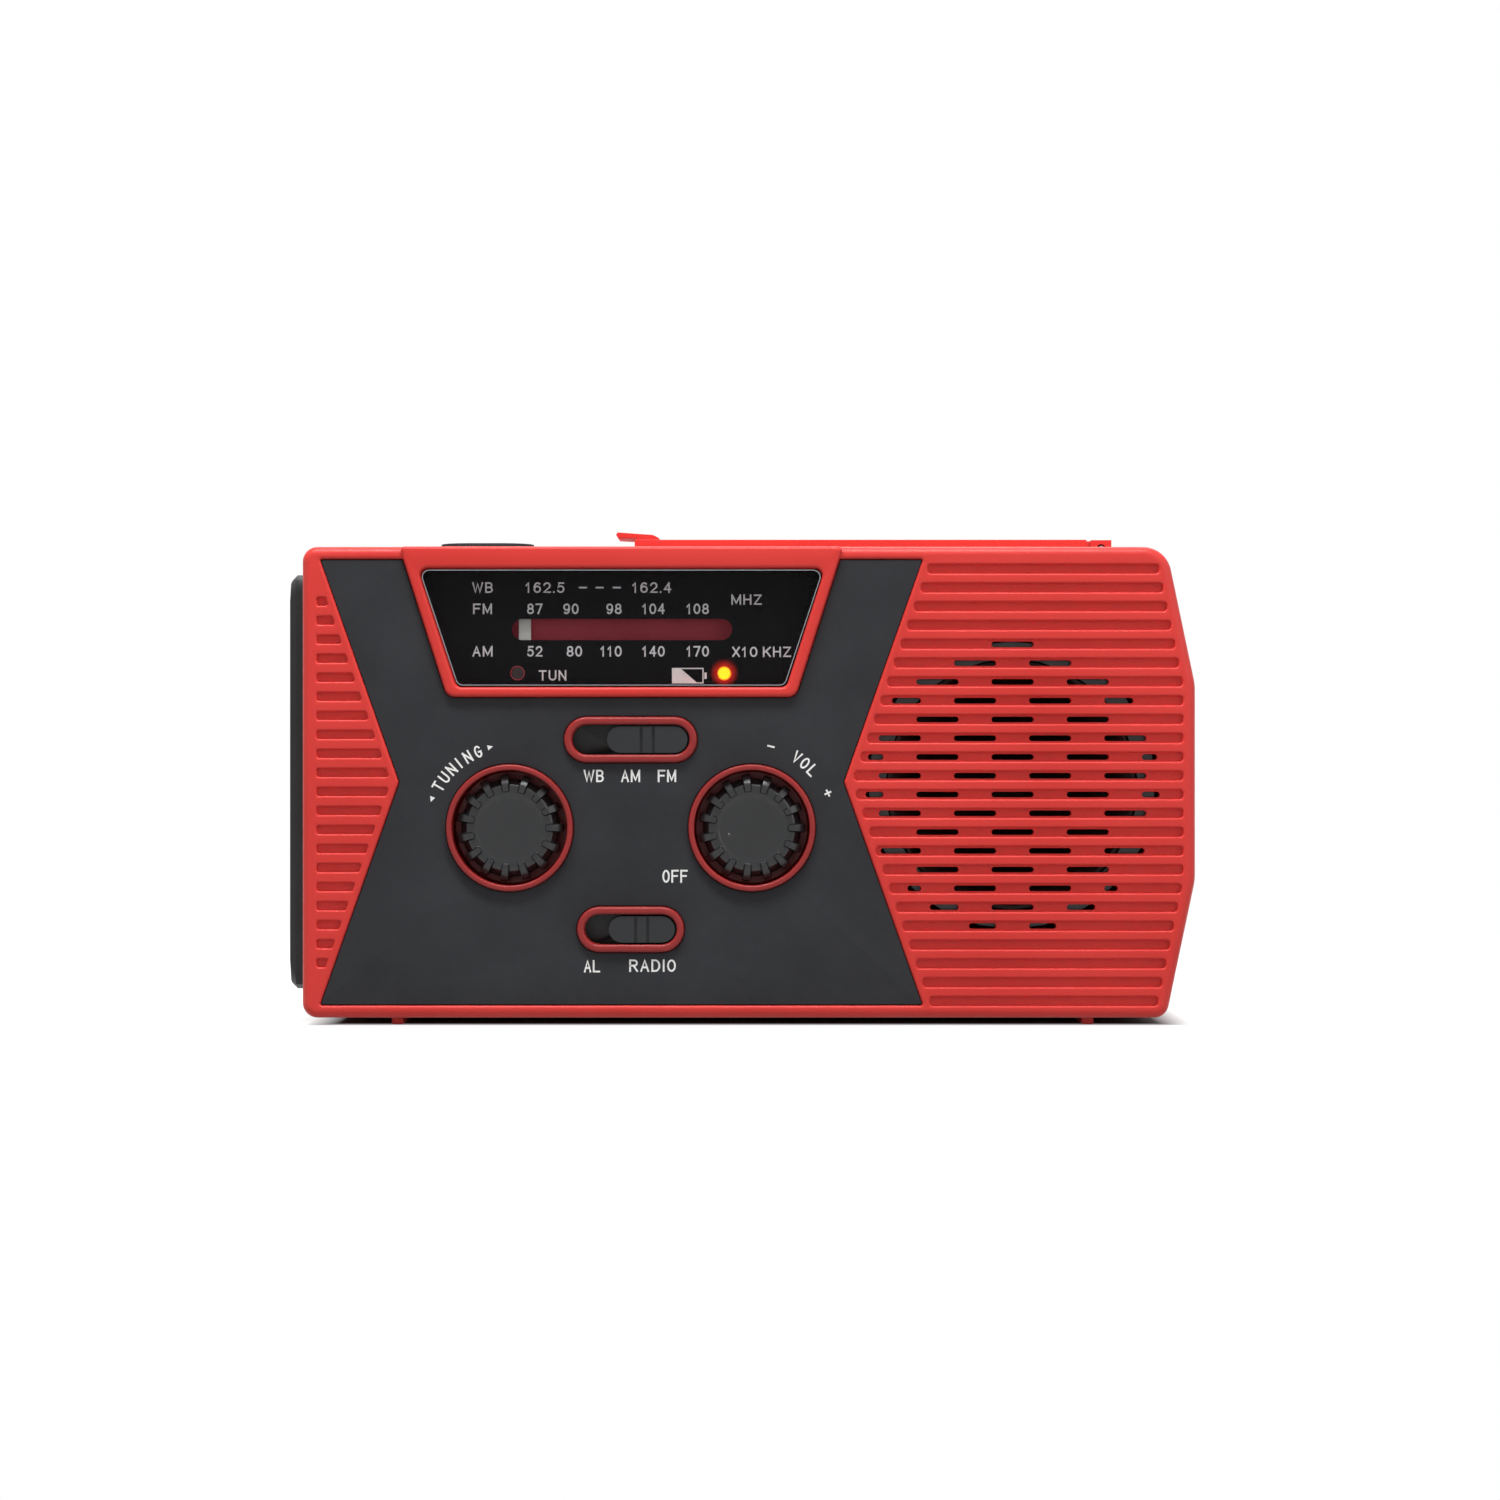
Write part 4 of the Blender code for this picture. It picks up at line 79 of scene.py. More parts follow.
def linear(hexColour):
    # An sRGB hex colour as linear light.
    parts = np.array([int(hexColour[i:i + 2], 16) for i in (1, 3, 5)]) / 255
    return (*np.where(parts <= 0.04045, parts / 12.92, ((parts + 0.055) / 1.055) ** 2.4), 1.0)


def addNode(tree, kind, settings, links=None):
    # One node with its settings, fed by sockets or by the first outputs of nodes.
    node = tree.nodes.new("ShaderNode" + kind)
    for key, value in settings.items():
        if isinstance(key, str) and hasattr(node, key):
            setattr(node, key, value)
        else:
            node.inputs[key].default_value = value
    for key, source in (links or {}).items():
        tree.links.new(getattr(source, "outputs", [source])[0], node.inputs[key])
    return node


def newMaterial(name):
    material = bpy.data.materials.new(name)
    material.use_nodes = True
    tree = material.node_tree
    tree.nodes.clear()
    return material, tree, addNode(tree, "TexCoord", {}).outputs["Object"]


def finishMaterial(tree, settings, links):
    shader = addNode(tree, "BsdfPrincipled", settings, links)
    addNode(tree, "OutputMaterial", {}, {"Surface": shader})


def patchy(tree, place, size, low, high):
    # Noise with patches of that size, spread between low and high.
    noise = addNode(tree, "TexNoise", {"Scale": 1 / (size * mm), "Detail": 3}, {"Vector": place})
    return addNode(tree, "MapRange", {**noiseSpan, "To Min": low, "To Max": high}, {"Value": noise})


def plasticMaterial(name, colour, shade, cloud, grain, depth, roughness, spread, ior, level):
    # Injection moulded plastic: an even colour with faint cloudiness, and the fine spark-eroded
    # grain of the mould, which breaks up the highlight.
    material, tree, place = newMaterial(name)
    mix = addNode(tree, "Mix", {"data_type": "RGBA", 6: linear(colour), 7: linear(shade)},
                  {0: patchy(tree, place, cloud, 0, 1)})
    rough = patchy(tree, place, grain * 6, roughness - spread, roughness + spread)
    noise = addNode(tree, "TexNoise", {"Scale": 1 / (grain * mm), "Detail": 2}, {"Vector": place})
    bump = addNode(tree, "Bump", {"Strength": 1, "Distance": depth * mm}, {"Height": noise})
    finishMaterial(tree, {"IOR": ior, "Specular IOR Level": level, **plasticExtrasAndPaintedGlow.get(name, {})},
                   {"Base Color": mix.outputs[2], "Roughness": rough, "Normal": bump})
    return material


def metalMaterial(name, colour, stretch, line, roughness, depth):
    # Plated or bare metal: drawn or turned, with fine lines along one direction.
    material, tree, place = newMaterial(name)
    stretched = addNode(tree, "Mapping", {"Scale": stretch}, {"Vector": place})
    lines = addNode(tree, "TexNoise", {"Scale": 1 / (line * mm), "Detail": 3}, {"Vector": stretched})
    span = {**noiseSpan, "To Min": roughness * 0.75, "To Max": roughness * 1.3}
    rough = addNode(tree, "MapRange", span, {"Value": lines})
    bump = addNode(tree, "Bump", {"Strength": 1, "Distance": depth * mm}, {"Height": lines})
    finishMaterial(tree, {"Base Color": linear(colour), "Metallic": 1}, {"Roughness": rough, "Normal": bump})
    return material


def switchMaterialWithPaintedShade(name, lever, plate, start, end):
    # The knobs' acetal for the lever, going to near black deeper in: painted shade on the slide plate down in
    # the switch's way. The change from one to the other lies between two depths behind the case's face.
    material, tree, place = newMaterial(name)
    parts = addNode(tree, "SeparateXYZ", {}, {0: place})
    span = {"From Min": (faceY + start) * mm, "From Max": (faceY + end) * mm}
    depth = addNode(tree, "MapRange", span, {"Value": parts.outputs["Y"]})
    # darker with depth behind the face: painted shade
    mix = addNode(tree, "Mix", {"data_type": "RGBA", 6: linear(lever), 7: linear(plate)}, {0: depth})
    finishMaterial(tree, {"IOR": 1.48, "Specular IOR Level": 0.3},
                   {"Base Color": mix.outputs[2], "Roughness": patchy(tree, place, 2, 0.28, 0.4)})
    return material


def clearMaterial(name, colour, alpha, roughness, level):
    # Moulded acrylic, polished: only its gloss and a faint tint show.
    material, tree, place = newMaterial(name)
    settings = {"Base Color": linear(colour), "Alpha": alpha, "IOR": 1.49, "Specular IOR Level": level}
    finishMaterial(tree, settings, {"Roughness": patchy(tree, place, 6, roughness, roughness * 2)})
    return material


def lampMaterial(name, near, far, core, edge, alpha, edgeAlpha, strength):
    # The lit charge light, and the painted glow of its halo on the mask: yellow at its axis, red outwards,
    # fading to nothing.
    material, tree, place = newMaterial(name)
    centre = axisOf("charge_led") * mm
    away = addNode(tree, "VectorMath", {"operation": "SUBTRACT", 1: (centre.x, 0, centre.z)}, {0: place})
    flat = addNode(tree, "VectorMath", {"operation": "MULTIPLY", 1: (1, 0, 1)}, {0: away})
    reach = addNode(tree, "VectorMath", {"operation": "LENGTH"}, {0: flat}).outputs["Value"]
    span = {"From Min": near * mm, "From Max": far * mm}
    share = addNode(tree, "MapRange", {**span, "interpolation_type": "SMOOTHSTEP"}, {"Value": reach})
    mix = addNode(tree, "Mix", {"data_type": "RGBA", 6: linear(core), 7: linear(edge)}, {0: share})
    fade = addNode(tree, "MapRange", {**span, "To Min": alpha, "To Max": edgeAlpha}, {"Value": reach})
    colour = mix.outputs[2]
    finishMaterial(tree, {"Roughness": 0.3, "Emission Strength": strength},
                   {"Base Color": colour, "Emission Color": colour, "Alpha": fade})
    return material


def solarMaterial(name, strip, joint, finger, line, crystal):
    # A laminated silicon cell: blue-black under clear resin, with thin silver fingers and strip joints.
    material, tree, place = newMaterial(name)
    across = addNode(tree, "SeparateXYZ", {}, {0: place})
    marks = []
    for key, pitch, width in (("X", strip, joint), ("Y", finger, line)):
        step = addNode(tree, "Math", {"operation": "WRAP", 1: pitch * mm, 2: 0.0}, {0: across.outputs[key]})
        marks.append(addNode(tree, "Math", {"operation": "LESS_THAN", 1: width * mm}, {0: step}))
    either = addNode(tree, "Math", {"operation": "MAXIMUM"}, dict(enumerate(marks)))
    silicon = addNode(tree, "Mix", {"data_type": "RGBA", 6: linear("#10131D"), 7: linear("#1B2136")},
                      {0: patchy(tree, place, crystal, 0, 1)})
    mix = addNode(tree, "Mix", {"data_type": "RGBA", 7: linear("#8D9096")},
                  {0: either, 6: silicon.outputs[2]})
    finishMaterial(tree, {"Roughness": 0.16, "Coat Weight": 1, "Coat Roughness": 0.04, "IOR": 1.5},
                   {"Base Color": mix.outputs[2]})
    return material


# Each row holds what its function asks for after the name, in that order.
plastics = {
    # colour, shade, size of clouds, size and depth of grain, roughness and its spread, IOR, specular level
    # ABS moulded in red, satin: the grain is drawn at 0.35 mm, coarse enough to show
    "redAbs": ("#E23E38", "#D8352F", 30, 0.35, 0.012, 0.4, 0.05, 1.53, 0.3),
    # the same ABS, darker red and glossier, of the wells and the switch rims: partly its own colour, partly
    # painted shade of the wells' deep insides
    "deepRedAbs": ("#9E2A29", "#922524", 12, 0.3, 0.008, 0.34, 0.05, 1.53, 0.3),
    # dull red card behind the dial's slot, its colour lifted against the slot's shade and given a faint glow:
    # painted light
    "dialCard": ("#B23C48", "#A03340", 12, 0.3, 0.006, 0.6, 0.05, 1.45, 0.5),
    # black enamel baked on pressed steel
    "enamelledSteel": ("#242426", "#1E1E20", 9, 0.4, 0.008, 0.3, 0.05, 1.5, 0.5),
    # ABS plate with a fine leather-like mould texture, charcoal
    "charcoalAbs": ("#343538", "#2D2E31", 14, 0.3, 0.02, 0.62, 0.06, 1.53, 0.15),
    # black ABS of the bezel and the crank
    "blackAbs": ("#1C1C1E", "#171719", 15, 0.3, 0.012, 0.46, 0.06, 1.53, 0.3),
    # black ink on the dial mask, flat
    "maskInk": ("#0B0B0E", "#09090B", 15, 0.3, 0.004, 0.5, 0.05, 1.5, 0.1),
    # acetal of the knobs, slightly waxy
    "knobAcetal": ("#212224", "#1C1D1F", 6, 0.25, 0.01, 0.2, 0.03, 1.48, 0.5),
    # silicone rubber, moulded, dull
    "siliconeRubber": ("#262628", "#202022", 8, 0.3, 0.02, 0.72, 0.06, 1.43, 0.5),
    # natural nylon of the gears and the drum
    "nylon": ("#D9D3C2", "#CFC8B4", 8, 0.3, 0.005, 0.42, 0.05, 1.53, 0.5),
    # white ABS of the pointer
    "whiteAbs": ("#F0EEE9", "#E6E3DC", 6, 0.25, 0.006, 0.4, 0.05, 1.53, 0.5),
    # opal polycarbonate of the reading lamp, diffusing
    "opalPolycarbonate": ("#EFEEE8", "#E8E6DE", 20, 0.4, 0.004, 0.3, 0.04, 1.58, 0.5),
    # glass-fibre board with green solder mask, lacquered
    "circuitBoard": ("#1F5A33", "#1A4E2C", 5, 0.5, 0.01, 0.35, 0.05, 1.5, 0.5),
    # pressed paper of the speaker cone, felted fibres
    "conePaper": ("#3A1E1A", "#251412", 3, 0.4, 0.05, 0.55, 0.08, 1.45, 0.5),
    # sintered ferrite, stone-like
    "ferrite": ("#3A3A3C", "#303032", 3, 0.3, 0.02, 0.6, 0.06, 1.6, 0.5),
    # shrink sleeve over the cell, glossy film
    "shrinkSleeve": ("#2E7A4B", "#2A7045", 20, 0.8, 0.01, 0.25, 0.04, 1.5, 0.5),
    # screen printed ink, flat white with a slightly porous edge to its gloss
    "whiteInk": ("#F2F2F0", "#E2E2E0", 1.5, 0.2, 0.002, 0.5, 0.05, 1.5, 0.5),
    # the same ink behind the window, a little greyed
    "dialInk": ("#DADADC", "#CFCFD2", 1.5, 0.2, 0.002, 0.5, 0.05, 1.5, 0.5),
    # unlit red epoxy of the tuning light
    "ledRed": ("#4A1416", "#3A0F11", 1, 0.3, 0.002, 0.15, 0.03, 1.55, 0.5),
}
# The faint glow of the dial card and of both inks is painted light, as none of them is a lamp; the opal
# polycarbonate's subsurface is its own.
plasticExtrasAndPaintedGlow = {
    "dialCard": {"Emission Color": linear("#B23C48"), "Emission Strength": 0.1},
    "whiteInk": {"Emission Color": linear("#F2F2F0"), "Emission Strength": 0.08},
    "dialInk": {"Emission Color": linear("#D8D8DA"), "Emission Strength": 0.12},
    "opalPolycarbonate": {"Subsurface Weight": 0.2, "Subsurface Scale": 0.002},
}
metals = {
    # colour, stretch of the lines, their size, roughness, depth
    # zinc plated steel, drawn
    "platedSteel": ("#A6A8AA", (1, 8, 8), 2.0, 0.34, 0.004),
    # chromed brass tube of the antenna, mirror bright with faint draw lines
    "chromedTube": ("#B7B9BD", (1, 20, 20), 4.0, 0.14, 0.001),
    # vacuum aluminised plastic of the torch reflector
    "aluminised": ("#E4E6E8", (1, 1, 1), 3.0, 0.1, 0.002),
    # enamelled copper wire, wound turn beside turn
    "enamelledCopper": ("#B5622F", (30, 1, 1), 6.0, 0.3, 0.03),
    # turned brass
    "turnedBrass": ("#B58F43", (1, 12, 1), 2.0, 0.3, 0.003),
}
# lever colour, the painted shade of the slide plate, and the depths between which one turns to the other
switches = {"switchAcetalPaintedShade": ("#2B2C2E", "#050505", 1.2, 2.8)}
clears = {
    # the dial's window, the torch's lens, and a painted highlight along the window's polished edge: a pale
    # sheet for the light it catches
    "windowAcrylic": ("#0A0A0C", 0.12, 0.04, 0.12),
    "lensAcrylic": ("#DFE4E6", 0.16, 0.03, 0.5),
    "acrylicEdgePaintedGlint": ("#C9CCD2", 0.55, 0.1, 0.5),
}
litLamps = {
    # radii where the fade starts and ends, colour and alpha at each, strength
    "ledAmber": (0.85, 1.25, "#FFD21C", "#FF6A10", 1.0, 1.0, 1.5),
    # a sheet on the mask round the lit light that glows: painted glow of its spilt light
    "ledHalo": (1.2, 2.6, "#D8210C", "#8A0A04", 0.6, 0.0, 0.8),
}
solarCells = {"siliconCell": (8.5, 0.35, 1.4, 0.16, 3)}
looks = {}
for make, table in ((plasticMaterial, plastics), (metalMaterial, metals), (switchMaterialWithPaintedShade, switches),
                    (clearMaterial, clears), (lampMaterial, litLamps), (solarMaterial, solarCells)):
    looks.update({name: make(name, *row) for name, row in table.items()})
print("materials made:", len(looks))


# Loops: closed outlines as arrays of (across, up), counter-clockwise

def roundedLoop(corners, steps=6):
    # Each corner (across, up, radius) becomes an arc that touches both of its sides.
    rows = np.array(corners, float)
    point, radius = rows[:, :2], rows[:, 2:3]
    before = np.roll(point, 1, 0) - point
    after = np.roll(point, -1, 0) - point
    before /= np.linalg.norm(before, axis=1, keepdims=True)
    after /= np.linalg.norm(after, axis=1, keepdims=True)
    half = np.arccos(np.clip((before * after).sum(1, keepdims=True), -1, 1)) / 2
    toCentre = (before + after) / np.linalg.norm(before + after, axis=1, keepdims=True)
    centre = point + toCentre * radius / np.sin(half)
    start = point + before * radius / np.tan(half) - centre
    end = point + after * radius / np.tan(half) - centre
    first = np.arctan2(start[:, 1], start[:, 0])
    sweep = (np.arctan2(end[:, 1], end[:, 0]) - first + np.pi) % (2 * np.pi) - np.pi
    turn = first[:, None] + sweep[:, None] * np.linspace(0, 1, steps + 1)
    arcs = centre[:, None, :] + radius[:, :, None] * np.stack([np.cos(turn), np.sin(turn)], 2)
    return arcs.reshape(-1, 2)


def mirroredLoop(right, steps):
    # The right half's corners from the bottom up, across from the panel's middle, and their mirror images.
    left = [(-across, up, radius) for across, up, radius in reversed(right)]
    return roundedLoop([(panelMiddle + across, up, radius) for across, up, radius in right + left], steps)


def pillLoop(across, up, length, height, steps=10):
    # Two half circles joined by straight sides.
    turn = np.linspace(-np.pi / 2, np.pi / 2, steps + 1)
    radius, reach = height / 2, (length - height) / 2
    right = np.stack([reach + radius * np.cos(turn), radius * np.sin(turn)], 1)
    return np.concatenate([right, -right]) + (across, up)


def circleLoop(across, up, radius, steps=72):
    turn = np.arange(steps) * 2 * np.pi / steps
    return np.stack([across + radius * np.cos(turn), up + radius * np.sin(turn)], 1)


def shrink(loop, distance):
    # Each point moves inwards along the mitre of its two sides.
    side = np.roll(loop, -1, 0) - loop
    side /= np.linalg.norm(side, axis=1, keepdims=True)
    inward = np.stack([-side[:, 1], side[:, 0]], 1)
    last = np.roll(inward, 1, 0)
    mitre = (inward + last) / (1 + (inward * last).sum(1, keepdims=True))
    return loop + mitre * distance


# Rows of (inset, depth) along a quarter circle, by which a loop is carried

def mouthRows(surface, radius, steps=4):
    # A rounded edge from a face at that depth into a hole: the rows run inwards and down.
    turn = np.linspace(0, np.pi / 2, steps + 1)
    return np.stack([-radius * (1 - np.sin(turn)), surface + radius * (1 - np.cos(turn))], 1)


def floorRows(floor, radius, steps=3):
    # A rounded corner from a wall onto a floor at that depth.
    turn = np.linspace(0, np.pi / 2, steps + 1)
    return np.stack([radius * (1 - np.cos(turn)), floor - radius * (1 - np.sin(turn))], 1)


def edgeRows(surface, radius, steps=4):
    # The outer edge of a raised form: the rows run up its side and in onto its face.
    turn = np.linspace(0, np.pi / 2, steps + 1)
    return np.stack([radius * (1 - np.cos(turn)), surface + radius * (1 - np.sin(turn))], 1)


# Surfaces: each returns its points and its faces

facings = {"front": (0, 2, 1), "top": (0, 1, 2), "end": (1, 2, 0)}  # the axes of across, up and depth


def inSpace(loop, depth, facing):
    points = np.empty((len(loop), 3))
    across, up, along = facings[facing]
    points[:, across], points[:, up], points[:, along] = loop[:, 0], loop[:, 1], depth
    return points


def gridFaces(rows, columns, closed=True):
    # Quads between neighbouring rows; where it's closed, the last column joins the first.
    column = np.arange(columns if closed else columns - 1)
    start = np.arange(rows - 1)[:, None] * columns
    first, second = start + column, start + (column + 1) % columns
    return np.stack([first, second, second + columns, first + columns], 2).reshape(-1, 4)


def skirt(loop, rows, facing="front"):
    # The loop carried along rows of (inset, depth).
    points = np.concatenate([inSpace(shrink(loop, inset), depth, facing) for inset, depth in rows])
    return points, gridFaces(len(rows), len(loop))


def sheet(loops, depth, facing="front"):
    # The flat region inside the loops by the even-odd rule, triangulated.
    flat = np.concatenate(loops)
    sizes = [len(loop) for loop in loops]
    starts = np.cumsum([0] + sizes[:-1])
    ahead = np.concatenate([start + (np.arange(size) + 1) % size for start, size in zip(starts, sizes)])
    edges = list(zip(range(len(flat)), ahead.tolist()))
    found = geometry.delaunay_2d_cdt([Vector(point) for point in flat.tolist()], edges, [], 1, 1e-7, True)
    points, triangles = np.array(found[0]), np.array(found[2])
    centre = points[triangles].mean(1)
    a, b = flat, flat[ahead]
    inside = np.zeros(len(triangles), bool)
    for block in range(0, len(triangles), 2000):  # in blocks, to bound the memory
        part = centre[block:block + 2000]
        crosses = (a[:, 1] > part[:, None, 1]) != (b[:, 1] > part[:, None, 1])
        rise = np.where(b[:, 1] == a[:, 1], 1, b[:, 1] - a[:, 1])
        where = a[:, 0] + (part[:, None, 1] - a[:, 1]) / rise * (b[:, 0] - a[:, 0])
        inside[block:block + 2000] = (crosses & (part[:, None, 0] < where)).sum(1) % 2 == 1
    return inSpace(points, depth, facing), triangles[inside]


def plate(outline, holes, front, back, edge, facing="front"):
    # A flat plate with holes: both edges of its front rounded, its back square.
    rows = [(0, back), *edgeRows(front, edge)]
    holeRows = [*mouthRows(front, edge), (0, back)]
    fronts = [shrink(outline, rows[-1][0])] + [shrink(hole, holeRows[0][0]) for hole in holes]
    surfaces = [skirt(outline, rows, facing)] + [skirt(hole, holeRows, facing) for hole in holes]
    return surfaces + [sheet(fronts, front, facing), sheet([outline, *holes], back, facing)]


def turnedSurface(profile, centre, facing="front", steps=96):
    # A profile of (radius, depth) carried round an axis through the centre.
    rows = np.array(profile, float)
    turn = np.arange(steps) * 2 * np.pi / steps
    across, up, along = facings[facing]
    points = np.empty((len(rows), steps, 3))
    points[:, :, across] = centre[across] + rows[:, :1] * np.cos(turn)
    points[:, :, up] = centre[up] + rows[:, :1] * np.sin(turn)
    points[:, :, along] = rows[:, 1:]
    return points.reshape(-1, 3), gridFaces(len(rows), steps)


def smoothProfile(corners, radius, steps=6):
    # An open profile whose inner corners become small arcs.
    rows = np.array(corners, float)
    share = np.linspace(0, 1, steps + 1)[:, None]
    arcs = [rows[:1]]
    for before, corner, after in zip(rows[:-2], rows[1:-1], rows[2:]):
        sides = [(end - corner, np.linalg.norm(end - corner)) for end in (before, after)]
        reach = min(radius, *(length / 2.2 for side, length in sides))
        start, end = (corner + side / length * reach for side, length in sides)
        arcs.append((1 - share) ** 2 * start + 2 * share * (1 - share) * corner + share ** 2 * end)
    return np.concatenate([*arcs, rows[-1:]])


def addObject(name, mesh):
    thing = bpy.data.objects.new(name, mesh)
    bpy.context.scene.collection.objects.link(thing)
    return thing


def cleanMesh(mesh, *steps):
    # Each step is a bmesh operation with its settings, given the mesh as a bmesh.
    shape = bmesh.new()
    shape.from_mesh(mesh)
    for step in steps:
        step(shape)
    shape.to_mesh(mesh)
    shape.free()


def mergeDoubles(distance):
    return lambda shape: bmesh.ops.remove_doubles(shape, verts=shape.verts, dist=distance * mm)


def facesOutwards(shape):
    bmesh.ops.recalc_face_normals(shape, faces=shape.faces)


def dressPiece(piece, body, look, standsFor=(), sharp=35):
    piece.data.materials.clear()
    piece.data.materials.append(looks[look])
    piece.data.shade_smooth()
    piece.data.set_sharp_from_angle(angle=np.radians(sharp))
    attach(piece, body)
    if standsFor:
        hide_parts(*standsFor)
    return piece


def makePiece(name, surfaces, body, look, standsFor=(), sharp=35, closed=True):
    # Joins surfaces that share edges into one mesh, its faces outwards where it's closed.
    points, faces, start = [], [], 0
    for surfacePoints, surfaceFaces in surfaces:
        points.append(surfacePoints)
        faces += (surfaceFaces + start).tolist()
        start += len(surfacePoints)
    mesh = bpy.data.meshes.new(name)
    mesh.from_pydata(np.concatenate(points) * mm, [], faces)
    steps = [mergeDoubles(0.0005),
             lambda shape: bmesh.ops.dissolve_degenerate(shape, edges=shape.edges, dist=0.0001 * mm)]
    cleanMesh(mesh, *steps, *([facesOutwards] if closed else []))
    return dressPiece(addObject(name, mesh), body, look, standsFor, sharp)


def softCopy(node, body, look, width):
    # The node's own shape with its doubles merged and its edges rounded as a mould leaves them.
    mesh = nodes[node].data.copy()
    cleanMesh(mesh, mergeDoubles(0.001), lambda shape: bmesh.ops.dissolve_limit(
        shape, angle_limit=np.radians(1), verts=shape.verts, edges=shape.edges))
    piece = dressPiece(addObject(node + "_moulded", mesh), body, look, (node,), 40)
    bevel = piece.modifiers.new("Bevel", "BEVEL")
    bevel.width = width * mm
    bevel.segments = 2
    bevel.limit_method = "ANGLE"
    bevel.angle_limit = np.radians(38)
    bevel.harden_normals = True


# Front case

caseShape = {"slant": 5.0, "straight": 34.0, "sideBend": 10, "corner": 2.6, "shoulder": 5.0, "insetShare": 0.9,
             "rim": 1.5, "wall": 2.2, "front": 2.8, "depth": 20.0, "panelEdge": 2.2, "panelHalf": 52.3,
             "panelCorner": 0.3, "waistHalf": 38.6, "waistCorner": 0.9, "recess": 1.2, "recessMouth": 0.5,
             "recessFillet": 0.1}
grooveShape = {"leftRows": 22, "leftPitch": 3.3, "leftHeight": 1.45, "leftInset": 2.6, "leftRadius": 0.34,
               "least": 1.0, "margin": 1.4, "rightRows": 24, "rightPitch": 3.26, "rightHeight": 1.6,
               "rightInset": 2.2, "drop": 0.5, "depth": 0.95, "mouth": 0.34, "fillet": 0.1, "endRadius": 0.6}
slotShape = {"rows": 16, "length": 7.35, "height": 0.98, "pitch": 13.05, "least": 2.0, "reach": 25.6,
             "mouth": 0.1}
windowShape = {"topHalf": 35.3, "bottomHalf": 28.6, "topDrop": 3.8, "bottomDrop": 24.4, "corner": 1.3,
               "frameTopHalf": 38.5, "frameBottomHalf": 30.2, "frameDrop": 26.1, "frameTopCorner": 0.7,
               "frameCorner": 2.0, "frameTopGap": 0.02, "edge": 0.6}
controlShape = {"well": 10.0, "ring": 1.0, "wellDepth": 6.0, "floor": 0.8, "spindle": 2.7, "wellRound": 0.42,
                "rims": (23.1, 18.6), "rimHeight": 7.9, "rimProud": 0.6, "rimEdge": 0.5, "ways": (20.4, 16.0),
                "wayHeight": 5.2, "root": 2.2, "rimRoot": 2.8}
openShape = {"gap": 0.3, "trayDepth": 3.2, "torchDepth": 4.4, "padLength": 17, "padWidth": 11, "padDepth": 4}
feetShape = {"places": {"left": -61.2, "right": 59.0}, "half": 1.05, "front": 3.0, "back": 20.0,
             "corner": 0.4, "edge": 0.3, "rooted": 1}


def bodyLoop(inset=0.0):
    # The case seen from the front: square on the left, slanted in above and below on the right.
    c = caseShape
    low, high = footZ + inset, topZ - inset
    left, side = caseLow.x + inset, caseHigh.x - inset
    corner, shoulder = (c[key] - inset * c["insetShare"] for key in ("corner", "shoulder"))
    corners = [(left, low, corner), (side - c["slant"], low, corner),
               (side, middleZ - c["straight"] / 2, c["sideBend"]),
               (side, middleZ + c["straight"] / 2, c["sideBend"]),
               (side - c["slant"], high, shoulder), (left, high, corner)]
    return roundedLoop(corners, 12)


def panelHalfAt(z):
    c = caseShape
    rise = (topZ - footZ) / 2 - c["panelEdge"]
    return c["waistHalf"] + (c["panelHalf"] - c["waistHalf"]) * abs(z - middleZ) / rise


def caseSideAt(z):
    c = caseShape
    beyond = max(abs(z - middleZ) - c["straight"] / 2, 0)
    return caseHigh.x - beyond * c["slant"] / ((topZ - footZ) / 2 - c["straight"] / 2)


def windowLoop(grow=0.0):
    w = windowShape
    return mirroredLoop([(w["bottomHalf"] + grow, topZ - w["bottomDrop"] - grow, w["corner"]),
                         (w["topHalf"] + grow, topZ - w["topDrop"] + grow, w["corner"])], 6)


def controlLoops(radius, lengths, height, steps=10):
    # Circles round both knobs and pills round both switches.
    places = zip((bandMiddle, functionMiddle), lengths)
    return [circleLoop(axis.x, axis.z, radius) for axis in (tuningAxis, volumeAxis)] + [
        pillLoop(middle.x, middle.z, length, height, steps) for middle, length in places]


def leftGrooves():
    g = grooveShape
    loops = []
    for row in range(g["leftRows"]):
        z = middleZ + (row - (g["leftRows"] - 1) / 2) * g["leftPitch"]
        low, high = z - g["leftHeight"] / 2, z + g["leftHeight"] / 2
        start = caseLow.x + g["leftInset"]
        lowEnd, highEnd = (panelMiddle - panelHalfAt(level) - g["margin"] for level in (low, high))
        if min(lowEnd, highEnd) - start > g["least"]:
            corners = [(start, low), (lowEnd, low), (highEnd, high), (start, high)]
            loops.append(roundedLoop([(*corner, g["leftRadius"]) for corner in corners], 4))
    return loops


